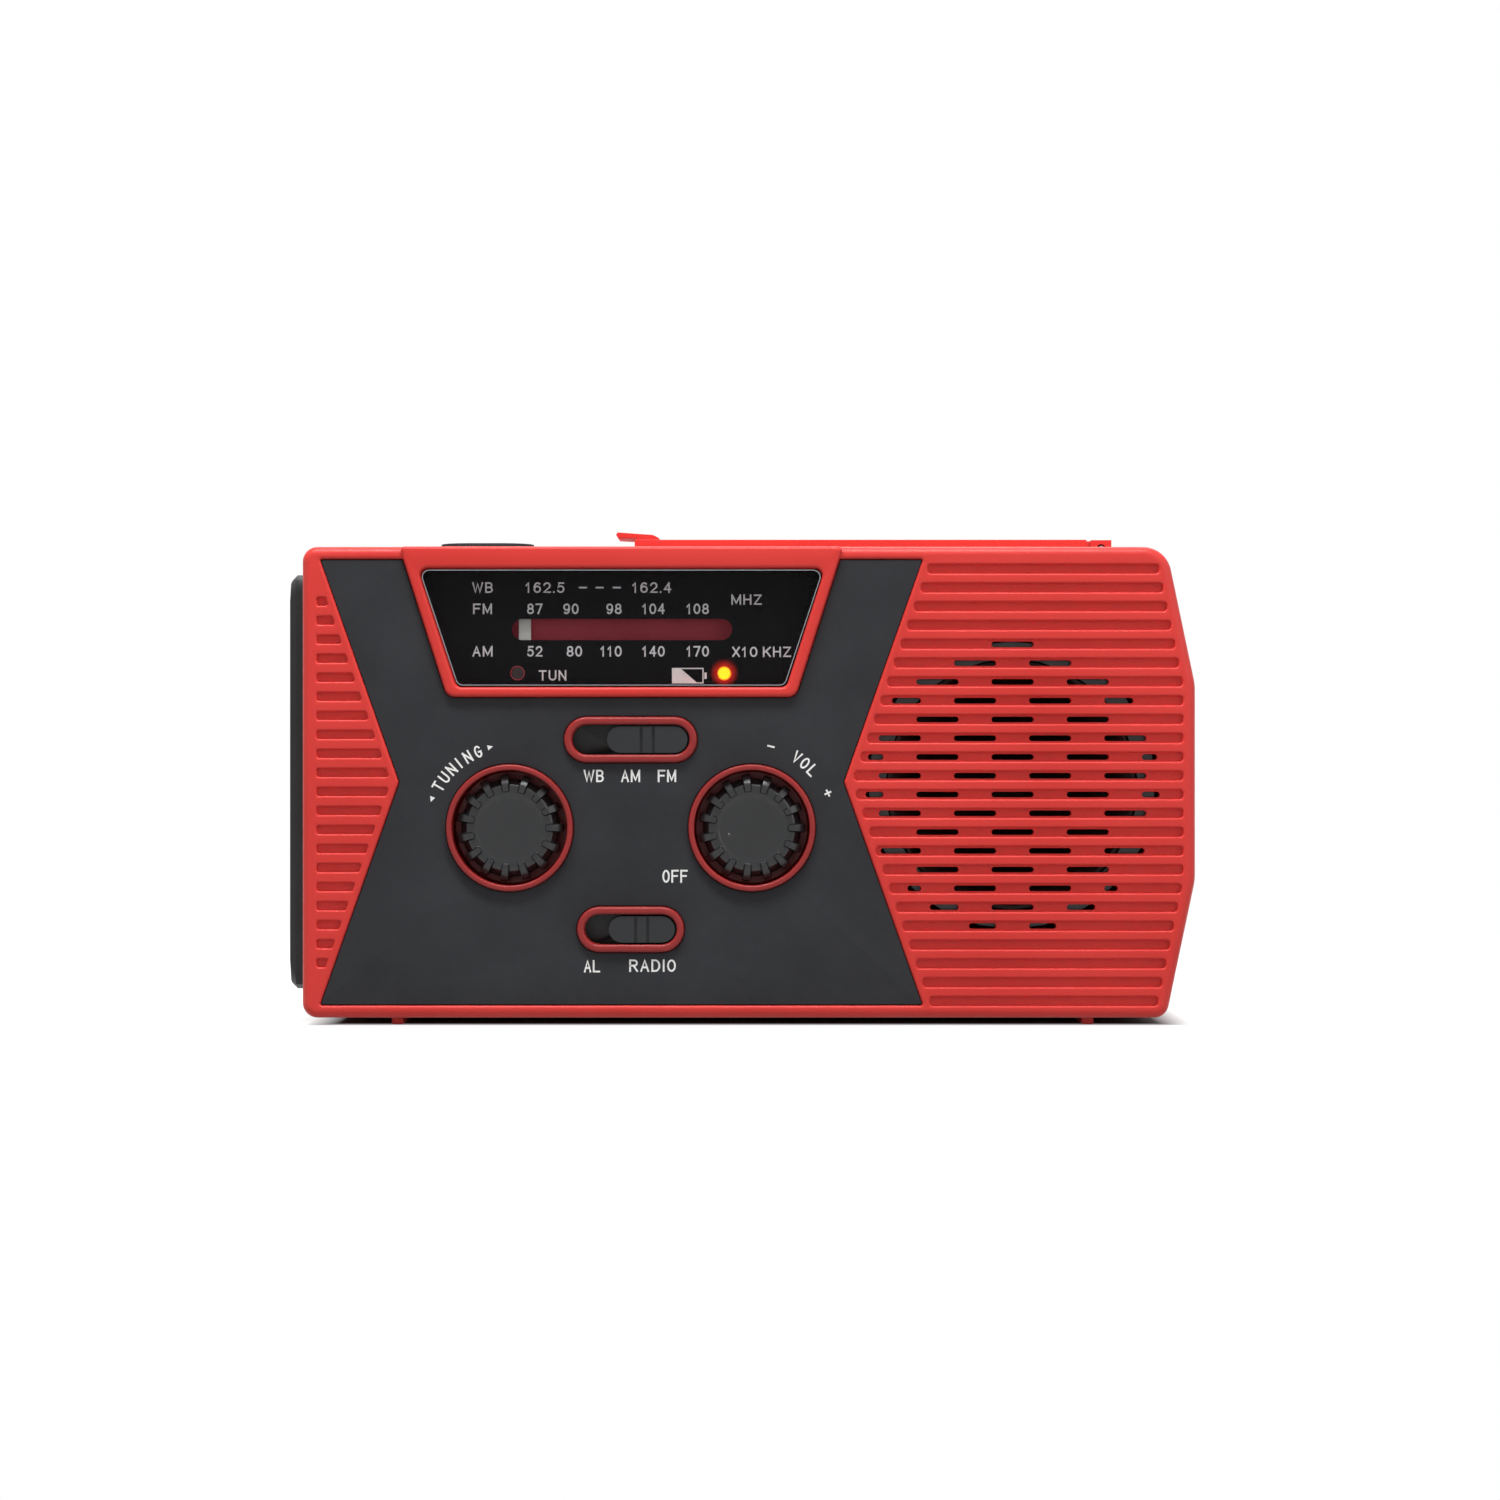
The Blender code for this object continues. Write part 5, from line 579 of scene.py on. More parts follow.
def rightGrooves():
    # Each groove with the speaker slots that lie in it, every second place of a brick pattern.
    g, s = grooveShape, slotShape
    grooves = []
    for row in range(g["rightRows"]):
        step = row - (g["rightRows"] - 1) / 2
        z = middleZ - g["drop"] + step * g["rightPitch"]
        start = panelMiddle + panelHalfAt(z) + g["margin"]
        end = caseSideAt(z) - g["rightInset"]
        low, high = z - g["rightHeight"] / 2, z + g["rightHeight"] / 2
        corners = [(start, low), (end, low), (end, high), (start, high)]
        groove = roundedLoop([(*corner, g["endRadius"]) for corner in corners], 5)
        slots = []
        if abs(step) < s["rows"] / 2:
            chord = np.sqrt(max(s["reach"] ** 2 - (step * g["rightPitch"]) ** 2, 0))
            shift = s["pitch"] / 2 if round((s["rows"] - 1) / 2 - step) % 2 else 0
            for place in range(-3, 4):
                left = max(shift + place * s["pitch"] - s["length"] / 2, -chord)
                right = min(shift + place * s["pitch"] + s["length"] / 2, chord)
                if right - left > s["least"]:
                    slots.append(pillLoop(speakerX + (left + right) / 2, z, right - left, s["height"], 6))
        grooves.append((groove, slots))
    return grooves


def frontCase():
    c, g, s, w, k = caseShape, grooveShape, slotShape, windowShape, controlShape
    outline, inner = bodyLoop(), bodyLoop(c["wall"])
    backY, innerY = faceY + c["depth"], faceY + c["front"]
    surfaces = [skirt(outline, [(0, backY), *edgeRows(faceY, c["rim"], 8)])]
    faceLoops, innerLoops = [shrink(outline, c["rim"])], [inner]

    recess = mirroredLoop([(c["panelHalf"], footZ + c["panelEdge"], c["panelCorner"]),
                           (c["waistHalf"], middleZ, c["waistCorner"]),
                           (c["panelHalf"], topZ - c["panelEdge"], c["panelCorner"])], 4)
    floor = faceY + c["recess"]
    rows = [*mouthRows(faceY, c["recessMouth"]), *floorRows(floor, c["recessFillet"])]
    through = [windowLoop(), *controlLoops(k["well"] + k["ring"] / 2, k["ways"], k["wayHeight"])]
    surfaces += [skirt(recess, rows), sheet([shrink(recess, rows[-1][0]), *through], floor)]
    surfaces += [skirt(loop, [(0, floor), (0, innerY)]) for loop in through]
    faceLoops.append(shrink(recess, rows[0][0]))
    innerLoops += through

    floor = faceY + g["depth"]
    rows = [*mouthRows(faceY, g["mouth"]), *floorRows(floor, g["fillet"])]
    slotRows = [*mouthRows(floor, s["mouth"], 2), (0, innerY)]
    for groove, slots in [(loop, []) for loop in leftGrooves()] + rightGrooves():
        mouths = [shrink(slot, slotRows[0][0]) for slot in slots]
        surfaces += [skirt(groove, rows), sheet([shrink(groove, rows[-1][0]), *mouths], floor)]
        surfaces += [skirt(slot, slotRows) for slot in slots]
        faceLoops.append(shrink(groove, rows[0][0]))
        innerLoops += slots
    surfaces += [sheet(faceLoops, faceY), sheet(innerLoops, innerY), sheet([outline, inner], backY),
                 skirt(inner, [(0, innerY), (0, backY)])]
    return makePiece("front_case_shell", surfaces, "case", "redAbs", ("front_case",))


def cutAway(piece, *surfaces):
    # Takes closed shapes out of a closed piece.
    cutters = []
    for points, faces in surfaces:
        mesh = bpy.data.meshes.new("cutter")
        mesh.from_pydata(points * mm, [], faces.tolist())
        cleanMesh(mesh, mergeDoubles(0.001),
                  lambda shape: bmesh.ops.holes_fill(shape, edges=shape.edges, sides=0), facesOutwards)
        cutters.append(addObject("cutter", mesh))
        step = piece.modifiers.new("Cut", "BOOLEAN")
        step.operation = "DIFFERENCE"
        step.solver = "MANIFOLD"
        step.object = cutters[-1]
    bpy.context.view_layer.update()
    result = bpy.data.meshes.new_from_object(piece.evaluated_get(bpy.context.evaluated_depsgraph_get()))
    piece.modifiers.clear()
    piece.data = result
    for cutter in cutters:
        bpy.data.objects.remove(cutter)


def openCase(piece):
    # The tray, the torch's mouth and the push button's hole go through the walls.
    o = openShape
    gap, deep = o["gap"], o["trayDepth"]
    low, high = boxOf("lid_tray")
    low, high = low - Vector((gap, gap, 0)), high + Vector((gap, gap, 0))
    corners = np.array([(low.x, low.y), (high.x, low.y), (high.x, high.y), (low.x, high.y)])
    tray = skirt(corners, [(0, topZ - deep), (0, topZ + deep)], "top")
    low, high = boxOf("torch_lens")
    mouth = circleLoop((low.y + high.y) / 2, (low.z + high.z) / 2, (high.y - low.y) / 2 + gap, 96)
    torch = skirt(mouth, [(0, caseLow.x - deep), (0, caseLow.x + o["torchDepth"])], "end")
    button = axisOf("top_button")
    pad = skirt(pillLoop(button.x, button.y, o["padLength"], o["padWidth"], 12),
                [(0, topZ - o["padDepth"]), (0, topZ + deep)], "top")
    cutAway(piece, tray, torch, pad)


shell = frontCase()
openCase(shell)
shell.data.shade_smooth()
shell.data.set_sharp_from_angle(angle=np.radians(35))
steady = shell.modifiers.new("Steady", "WEIGHTED_NORMAL")  # flat faces stay flat between the long grooves
steady.keep_sharp = True
print("front case shell:", len(shell.data.polygons), "faces")


def frontFittings():
    # The window's frame, the rings round the knobs' wells, the rims round the switches, and the feet.
    w, k, f = windowShape, controlShape, feetShape
    outer = mirroredLoop([(w["frameBottomHalf"], topZ - w["frameDrop"], w["frameCorner"]),
                          (w["frameTopHalf"], topZ - w["frameTopGap"], w["frameTopCorner"])], 6)
    surfaces = plate(outer, [windowLoop()], faceY - ringProud, faceY + k["root"], w["edge"])
    makePiece("window_frame", surfaces, "case", "redAbs")
    for name, axis in (("tuning", tuningAxis), ("volume", volumeAxis)):
        spindle, well, ring = k["spindle"], k["well"], k["well"] + k["ring"]
        front, floor = faceY - ringProud, faceY + k["wellDepth"]
        back = floor + k["floor"]
        corners = [(spindle, back), (spindle, floor), (well, floor), (well, front), (ring, front),
                   (ring, back), (spindle, back)]
        profile = smoothProfile(corners, k["wellRound"])
        makePiece(name + "_well", [turnedSurface(profile, axis)], "case", "deepRedAbs")
    middles = (bandMiddle, functionMiddle)
    for name, middle, rim, way in zip(("band", "function"), middles, k["rims"], k["ways"]):
        outer, hole = (pillLoop(middle.x, middle.z, length, height, 16)
                       for length, height in ((rim, k["rimHeight"]), (way, k["wayHeight"])))
        surfaces = plate(outer, [hole], faceY - k["rimProud"], faceY + k["rimRoot"], k["rimEdge"])
        makePiece(name + "_rim", surfaces, "case", "deepRedAbs")
    for side, x in f["places"].items():
        corners = [(x - f["half"], f["front"]), (x + f["half"], f["front"]), (x + f["half"], f["back"]),
                   (x - f["half"], f["back"])]
        foot = roundedLoop([(*corner, f["corner"]) for corner in corners], 3) + (bodyMiddle, faceY)
        surfaces = plate(foot, [], 0, footZ + f["rooted"], f["edge"], "top")
        makePiece(side + "_foot", surfaces, "case", "redAbs")


frontFittings()

panelShape = {"gap": 0.12, "edge": 0.15, "sink": 0.3, "corner": 0.3, "notchCorner": 0.25, "frameCorner": 1.9}


def frontPanel():
    # A waisted plate in the recess, notched for the window's frame and pierced for the controls.
    c, w, k, p = caseShape, windowShape, controlShape, panelShape
    gap = p["gap"]
    high, low = topZ - c["panelEdge"] - gap, footZ + c["panelEdge"] + gap
    fall = (topZ - high) / w["frameDrop"]
    notch = w["frameTopHalf"] + (w["frameBottomHalf"] - w["frameTopHalf"]) * fall + 2 * gap
    right = [(c["panelHalf"] - gap, low, p["corner"]), (c["waistHalf"] - gap, middleZ, c["waistCorner"]),
             (c["panelHalf"] - gap, high, p["corner"]), (notch, high, p["notchCorner"]),
             (w["frameBottomHalf"] + gap, topZ - w["frameDrop"] - gap, p["frameCorner"])]
    rims = [rim + 2 * gap for rim in k["rims"]]
    holes = controlLoops(k["well"] + k["ring"] + gap, rims, k["rimHeight"] + 2 * gap, 16)
    surfaces = plate(mirroredLoop(right, 4), holes, faceY + p["sink"], faceY + c["recess"] - gap, p["edge"])
    makePiece("front_panel_plate", surfaces, "case", "charcoalAbs", ("front_panel",))


frontPanel()
print("front fittings and panel made")


# Window and knobs

windowLens = {"sink": 0.2, "thickness": 1.2, "gap": 0.25, "edge": 0.3, "glint": (0.02, 0.17),
              "glintProud": 0.01}


def dialWindow():
    v = windowLens
    front = faceY - ringProud + v["sink"]
    outline = windowLoop(-v["gap"])
    surfaces = plate(outline, [], front, front + v["thickness"], v["edge"])
    makePiece("dial_window_lens", surfaces, "case", "windowAcrylic", ("dial_window",))
    # A pale sheet along the lens's rim: a painted highlight of its polished edge.
    glint = [shrink(outline, inset) for inset in v["glint"]]
    makePiece("dial_window_painted_glint", [sheet(glint, front - v["glintProud"])], "case", "acrylicEdgePaintedGlint", closed=False)


dialWindow()

knobShape = {
    "ribs": 15, "ribWidth": 1.4, "ribSoft": 0.14, "ribMeasuredAt": 8.0, "sink": 1.0, "dish": 0.1, "bore": 2.7,
    "boreDepth": 3.0,
    # profiles of (radius, depth behind the face) from the middle out, between the ribs and along them
    "plain": [(0, 0.1), (5.6, 0.1), (5.9, 0), (6.25, 0), (6.5, 0), (7.0, 0), (7.2, 0.02), (7.5, 0.16),
              (8.35, 1.1), (8.5, 1.45), (8.5, 4.1), (8.5, 5.0), (8.2, 5.3)],
    "ribbed": [(0, 0.1), (5.6, 0.1), (5.9, 0), (6.2, -0.05), (6.37, -0.49), (6.55, -0.55), (7.3, -0.55),
               (7.6, -0.45), (9.15, 0.47), (9.3, 0.85), (9.3, 3.9), (8.5, 5.0), (8.2, 5.3)],
    # the small raised dot on the volume knob: across, up, radius, height, and its root behind the dish
    "dot": (-4.0, -1.4, 0.45, 0.18, 0.02, 0.1),
}


def knob(name, axis, body):
    # Profile = between-ribs (1 - w) + along-ribs w, where w rises as 3s^2 - 2s^3 at each rib's sides.
    k = knobShape
    face = faceY - ringProud + k["sink"]
    tables = [np.array(k[key]) + (0, face) for key in ("plain", "ribbed")]
    key = np.arange(len(tables[0]))
    share = np.linspace(0, key[-1], key[-1] * 5 + 1)
    plain, ribbed = (np.stack([np.interp(share, key, table[:, i]) for i in (0, 1)], 1) for table in tables)
    turn = np.arange(k["ribs"] * 24) * 2 * np.pi / (k["ribs"] * 24)
    pitch = 2 * np.pi / k["ribs"]
    off = np.abs((turn + pitch / 2) % pitch - pitch / 2) * k["ribMeasuredAt"]
    rise = np.clip((k["ribWidth"] / 2 + k["ribSoft"] / 2 - off) / k["ribSoft"], 0, 1)
    weight = rise * rise * (3 - 2 * rise)
    radius, depth = (plain[:, i:i + 1] * (1 - weight) + ribbed[:, i:i + 1] * weight for i in (0, 1))
    points = np.stack([axis.x + radius * np.cos(turn), depth, axis.z + radius * np.sin(turn)], 2)
    back = tables[0][-1, 1]
    bore = circleLoop(axis.x, axis.z, k["bore"], 48)
    surfaces = [(points.reshape(-1, 3), gridFaces(len(share), len(turn))),
                sheet([points[-1][:, [0, 2]], bore], back),
                skirt(bore, [(0, back), (0, back - k["boreDepth"])]), sheet([bore], back - k["boreDepth"])]
    makePiece(name + "_cap", surfaces, body, "knobAcetal", (name,), 50)


def volumeDot():
    # A cap whose height falls as a quarter wave to its rim.
    across, up, radius, height, lift, root = knobShape["dot"]
    dish = faceY - ringProud + knobShape["sink"] + knobShape["dish"]
    share = np.linspace(0, 1, 7)
    cap = np.stack([radius * share, dish + lift - (height + lift) * np.cos(share * np.pi / 2)], 1)
    profile = np.concatenate([cap, [(radius, dish + root), (0, dish + root)]])
    centre = volumeAxis + Vector((across, 0, up))
    makePiece("volume_dot", [turnedSurface(profile, centre, steps=32)], "volume_spindle", "knobAcetal")


knob("tuning_knob", tuningAxis, "tuning_control")
knob("volume_knob", volumeAxis, "volume_spindle")
volumeDot()
print("window and knobs made")


# Lettering: plain dial numbers and the plain words that any radio carries

# Each letter is strokes in a box one wide and one high: points, or arcs as centre, radii, start and end angle
letterStrokes = {
    "0": [[(0.5, 0.5, 0.5, 0.5, 90, 450)]], "1": [[(0.0, 0.74), (0.5, 1), (0.5, 0)]],
    "2": [[(0.5, 0.7, 0.47, 0.3, 165, -38), (0, 0), (1, 0)]],
    "3": [[(0.47, 0.75, 0.42, 0.25, 155, -90), (0.47, 0.26, 0.5, 0.26, 90, -155)]],
    "4": [[(0.74, 0), (0.74, 1)], [(0.74, 1), (0, 0.3), (1, 0.3)]],
    "5": [[(0.92, 1), (0.2, 1), (0.08, 0.5), (0.47, 0.33, 0.5, 0.33, 140, -150)]],
    "6": [[(0.5, 0.32, 0.48, 0.32, 90, 450)], [(0.55, 0.5, 0.53, 0.5, 195, 55)]],
    "7": [[(0, 1), (1, 1), (0.35, 0)]],
    "8": [[(0.5, 0.75, 0.41, 0.25, -90, 270)], [(0.5, 0.26, 0.49, 0.26, 90, 450)]],
    "9": [[(0.5, 0.68, 0.48, 0.32, 90, 450)], [(0.45, 0.5, 0.53, 0.5, 15, -125)]],
    "A": [[(0, 0), (0.5, 1), (1, 0)], [(0.2, 0.34), (0.8, 0.34)]],
    "B": [[(0, 0), (0, 1), (0.55, 1), (0.55, 0.76, 0.38, 0.24, 90, -90), (0, 0.52)],
          [(0, 0.52), (0.5, 0.52), (0.5, 0.26, 0.5, 0.26, 90, -90), (0, 0)]],
    "D": [[(0, 0), (0, 1), (0.42, 1), (0.42, 0.5, 0.58, 0.5, 90, -90), (0, 0)]],
    "F": [[(0, 0), (0, 1), (1, 1)], [(0, 0.53), (0.85, 0.53)]],
    "G": [[(0.5, 0.5, 0.5, 0.5, 42, 325), (0.96, 0.46), (0.56, 0.46)]],
    "H": [[(0, 0), (0, 1)], [(1, 0), (1, 1)], [(0, 0.52), (1, 0.52)]],
    "I": [[(0.5, 0), (0.5, 1)]], "K": [[(0, 0), (0, 1)], [(1, 1), (0, 0.36)], [(0.36, 0.6), (1, 0)]],
    "L": [[(0, 1), (0, 0), (1, 0)]], "M": [[(0, 0), (0, 1)], [(0, 1), (0.5, 0.12), (1, 1)], [(1, 1), (1, 0)]],
    "N": [[(0, 0), (0, 1)], [(0, 1), (1, 0)], [(1, 0), (1, 1)]], "O": [[(0.5, 0.5, 0.5, 0.5, 90, 450)]],
    "R": [[(0, 0), (0, 1), (0.55, 1), (0.55, 0.75, 0.42, 0.25, 90, -90), (0, 0.5)], [(0.5, 0.5), (1, 0)]],
    "T": [[(0, 1), (1, 1)], [(0.5, 1), (0.5, 0)]],
    "U": [[(0, 1), (0, 0.34), (0.5, 0.34, 0.5, 0.34, 180, 360), (1, 0.4), (1, 1)]],
    "V": [[(0, 1), (0.5, 0), (1, 1)]], "W": [[(0, 1), (0.26, 0), (0.5, 0.92), (0.74, 0), (1, 1)]],
    "X": [[(0, 0), (1, 1)], [(0, 1), (1, 0)]], "Z": [[(0, 1), (1, 1), (0, 0), (1, 0)]],
    ".": [[(0.5, 0), (0.5, 0.02)]], "-": [[(0, 0.5), (1, 0.5)]],
    "+": [[(0, 0.5), (1, 0.5)], [(0.5, 0.1), (0.5, 0.9)]],
}
letterWidths = {"I": 0.05, "1": 0.5, ".": 0.05, "M": 0.9, "W": 1.1, "other": 0.72, "gap": 0.42}


def strokePath(parts):
    # The points of one stroke, its arcs drawn out.
    rows = []
    for part in parts:
        if len(part) == 2:
            rows.append(np.array([part], float))
        else:
            turn = np.radians(np.linspace(part[4], part[5], 17))
            rows.append(np.stack([part[0] + part[2] * np.cos(turn), part[1] + part[3] * np.sin(turn)], 1))
    path = np.concatenate(rows)
    return path[np.append(True, np.linalg.norm(np.diff(path, axis=0), axis=1) > 1e-6)]


def ribbon(path, width):
    # A flat band along a path: each point moved both ways along the mitre, the ends squared off.
    way = np.diff(path, axis=0)
    way /= np.linalg.norm(way, axis=1, keepdims=True)
    joined = np.linalg.norm(path[0] - path[-1]) < 1e-6
    before = np.concatenate([way[-1:] if joined else way[:1], way])
    after = np.concatenate([way, way[:1] if joined else way[-1:]])
    path = path.copy()
    if not joined:
        path[0] -= way[0] * width / 2
        path[-1] += way[-1] * width / 2
    sideways = np.stack([-(before + after)[:, 1], (before + after)[:, 0]], 1)
    size = np.linalg.norm(sideways, axis=1, keepdims=True)
    mitre = sideways / size * np.clip(2 / size, 1, 1.7)
    points = np.stack([path + mitre * width / 2, path - mitre * width / 2], 1)
    return points.reshape(-1, 2), gridFaces(len(path), 2, False)


def lettering(name, words, depth, look, line):
    # Each word is (text, across, up, height, width, turn in degrees) over its middle.
    surfaces = []
    for text, across, up, height, width, turn in words:
        gap = letterWidths["gap"]
        cells = np.array([letterWidths.get(letter, letterWidths["other"]) for letter in text])
        cells = cells if len(text) > 1 else np.array([1.0])
        starts = np.concatenate([[0], np.cumsum(cells + gap)[:-1]])
        total = cells.sum() + gap * (len(text) - 1)
        angle = np.radians(turn)
        spin = np.array([[np.cos(angle), np.sin(angle)], [-np.sin(angle), np.cos(angle)]])
        for letter, start, cell in zip(text, starts, cells):
            for layer, parts in enumerate(letterStrokes[letter]):
                path = strokePath(parts) * (cell, 1) + (start - total / 2, -0.5)
                points, faces = ribbon(path * ((width - line) / total, height - line), line)
                placed = points @ spin + (bodyMiddle + across, up)
                surfaces.append((inSpace(placed, depth - layer * 0.002, "front"), faces))
    makePiece(name, surfaces, "case", look, closed=False)


inkProud = 0.02
dialDepth = boxOf("dial_mask")[0].y - inkProud
panelDepth = faceY + panelShape["sink"] - inkProud
inkLines = {"dial": 0.27, "panel": 0.31}
# Rows of words: up, height of the letters, then each word's text, place across and width
dialRows = [
    (76.1, 1.85, [("WB", -46.4, 3.6), ("162.5", -35.5, 6.8), ("-", -28.9, 1.4), ("-", -26.0, 1.4),
                  ("-", -23.0, 1.4), ("162.4", -16.9, 6.8)]),
    (72.4, 1.85, [("FM", -46.4, 3.3), ("87", -37.3, 2.7), ("90", -31.0, 2.7), ("98", -23.5, 2.7),
                  ("104", -16.6, 3.9), ("108", -8.9, 3.9)]),
    (65.0, 1.85, [("AM", -46.4, 3.5), ("52", -37.3, 2.7), ("80", -30.4, 2.7), ("110", -24.0, 3.7),
                  ("140", -16.6, 3.9), ("170", -8.9, 3.9)]),
    (74.0, 1.8, [("MHZ", -0.4, 5.3)]), (64.9, 1.8, [("X10", -0.7, 4.4), ("KHZ", 4.9, 4.9)]),
    (60.8, 1.8, [("TUN", -34.2, 4.8)]),
]
panelRows = [
    (43.3, 2.15, [("WB", -26.9, 3.5), ("AM", -20.5, 3.3), ("FM", -14.2, 3.2)]),
    (10.3, 2.15, [("AL", -27.2, 2.8)]),
    (10.4, 2.15, [("RADIO", -16.7, 8.1)]), (25.9, 2.25, [("OFF", -12.8, 4.4)]),
]
# Letters round the knobs: text, axis, radius, height, angles
arcWords = [
    ("TUNING", tuningAxis, 14.3, 2.15, (150.0, 142.4, 134.8, 128.2, 120.6, 112.5)),
    ("VOL", volumeAxis, 14.5, 2.15, (57.5, 50.6, 43.4)), ("-+", volumeAxis, 14.5, 1.5, (76.8, 24.6)),
]
arcLetterWidth = 1.3
dialWords, panelWords = ([(text, across, up, height, width, 0) for up, height, row in rows
                          for text, across, width in row] for rows in (dialRows, panelRows))
for text, axis, radius, height, angles in arcWords:
    for letter, angle in zip(text, angles):
        across = axis.x - bodyMiddle + radius * np.cos(np.radians(angle))
        up = axis.z + radius * np.sin(np.radians(angle))
        panelWords.append((letter, across, up, height, arcLetterWidth, angle - 90))
lettering("dial_numbers", dialWords, dialDepth, "dialInk", inkLines["dial"])
lettering("panel_words", panelWords, panelDepth, "whiteInk", inkLines["panel"])

signShape = {
    # arrow heads: angle and side; their radius, how far the tip and the base lie, and half the base
    "arrows": ((159.5, -1), (104.0, 1)), "arrowRadius": 14.4, "tip": 0.6, "base": 0.35, "halfBase": 0.45,
    # battery sign: its box across and up, its line, its cap, and how far the full part slants
    "across": (-13.4, -7.9), "up": (59.4, 62.1), "line": 0.18, "cap": (0.15, 0.55), "capUp": (60.2, 61.3),
    "fullTo": (1.2, 1.6),
    # the ring round the tuning light, and the painted glow round the charge light: points, outer and inner
    # radius
    "tuningRing": (40, 1.25, 1.12), "halo": (48, 3.2, 1.25),
}


def boxLoop(across, up):
    return np.array([(across[0], up[0]), (across[1], up[0]), (across[1], up[1]), (across[0], up[1])], float)


def marks():
    # Two arrow heads beside the tuning word, the battery sign, the ring round the tuning light, and a painted
    # glow round the charge light.
    g = signShape
    arrows = []
    for angle, side in g["arrows"]:
        turn = np.radians(angle)
        outward = np.array([np.cos(turn), np.sin(turn)])
        along = np.array([np.sin(turn), -np.cos(turn)]) * side
        base = (tuningAxis.x, tuningAxis.z) + outward * g["arrowRadius"] - along * g["base"]
        tip = base + along * (g["base"] + g["tip"])
        arrows.append(sheet([np.array([tip, base + outward * g["halfBase"], base - outward * g["halfBase"]])],
                            panelDepth))
    makePiece("tuning_arrows", arrows, "case", "whiteInk", closed=False)
    (left, right), (low, high), line = bodyMiddle + np.array(g["across"]), g["up"], g["line"]
    outer = boxLoop((left, right), (low, high))
    cap = boxLoop((right + g["cap"][0], right + g["cap"][1]), g["capUp"])
    full = np.array([(left + line, low + line), (right - g["fullTo"][0], low + line),
                     (left + g["fullTo"][1], high - line), (left + line, high - line)])
    surfaces = [sheet(loops, dialDepth) for loops in ([outer, shrink(outer, line)], [cap], [full])]
    makePiece("battery_sign", surfaces, "case", "whiteInk", closed=False)
    # the charge light's halo is a glowing sheet on the mask: painted glow
    for name, node, key, look in (("tuning_light_ring", "tuning_led", "tuningRing", "dialCard"),
                                  ("charge_light_halo", "charge_led", "halo", "ledHalo")):
        light = axisOf(node)
        points, *radii = g[key]
        rings = [circleLoop(light.x, light.z, radius, points) for radius in radii]
        makePiece(name, [sheet(rings, dialDepth)], "case", look, closed=False)


marks()
print("lettering made")


# Every other piece that shows: its own shape with moulded edges, as node, body, look and edge

softPieces = [
    ("rear_case", "case", "redAbs", 0.3), ("battery_door", "cell_door", "redAbs", 0.25),
    ("lid_tray", "case", "redAbs", 0.2), ("solar_lid", "lid", "redAbs", 0.25),
    ("band_switch_button", "band_slider", "switchAcetalPaintedShade", 0.18),
    ("function_switch_button", "function_slider", "switchAcetalPaintedShade", 0.18),
    ("torch_bezel", "case", "blackAbs", 0.3), ("top_button", "push_button", "siliconeRubber", 0.2),
    ("crank_arm", "crank", "blackAbs", 0.25), ("port_cover", "port_flap", "siliconeRubber", 0.2),
    ("port_sockets", "case", "blackAbs", 0.1), ("dial_pointer", "pointer", "whiteAbs", 0.1),
    ("reading_lamp", "lid", "opalPolycarbonate", 0.15), ("antenna_base", "antenna", "chromedTube", 0.15),
    ("crank_grip_yoke", "grip_fork", "platedSteel", 0.12),
]
for row in softPieces:
    softCopy(*row)
print("moulded copies made:", len(softPieces))

torchShape = {"dome": 0.35, "domeShare": 0.97, "rim": 0.2, "wall": 0.9, "neckShare": 0.07, "ledRadius": 2.2,
              "ledDome": 1.6, "ledFlange": 1.6}
antennaShape = {"edge": 0.15, "wall": 0.4, "tip": 4.4, "rod": 1.2, "tipRound": 0.7}
gripShape = {"flutes": 10, "fluteDepth": 0.28, "edge": 0.6, "bore": 1.7, "rows": 24, "sizeShare": 0.999}


def endPiece(name, node, profile, body, look, steps=96):
    # A turned piece along the radio's length, in the place of its node.
    makePiece(name, [turnedSurface(profile, axisOf(node), "end", steps)], body, look, (node,))


def torchParts():
    # Lens: a slice of a shallow dome. Bowl: radius = mouth times the root of the share of its depth left.
    t = torchShape
    low, high = boxOf("torch_lens")
    radius, share = (high.y - low.y) / 2, np.linspace(0, 1, 13)
    dome = np.stack([radius * t["domeShare"] * share, low.x + t["dome"] * share ** 2], 1)
    edge = [(radius, low.x + t["dome"] + t["rim"]), (radius, high.x), (0, high.x)]
    endPiece("torch_lens_dome", "torch_lens", np.concatenate([dome, edge]), "case", "lensAcrylic")
    low, high = boxOf("torch_reflector")
    mouth = (high.y - low.y) / 2 - t["wall"]
    left = 1 - (1 - t["neckShare"]) * np.linspace(0, 1, 25)
    inner = np.stack([mouth * np.sqrt(left), low.x + (high.x - low.x) * (1 - left) / (1 - left[-1])], 1)
    profile = np.concatenate([inner, inner[::-1] + (t["wall"], 0), inner[:1]])
    endPiece("torch_bowl", "torch_reflector", profile, "case", "aluminised")
    low, high = boxOf("torch_led")
    turn = np.linspace(0, np.pi / 2, 9)
    tip = np.stack([t["ledRadius"] * np.sin(turn), low.x + t["ledDome"] * (1 - np.cos(turn))], 1)
    base, flange = high.x - t["ledFlange"], (high.y - low.y) / 2
    profile = np.concatenate([tip, [(t["ledRadius"], base), (flange, base), (flange, high.x), (0, high.x)]])
    endPiece("torch_lamp", "torch_led", profile, "case", "whiteAbs", 64)


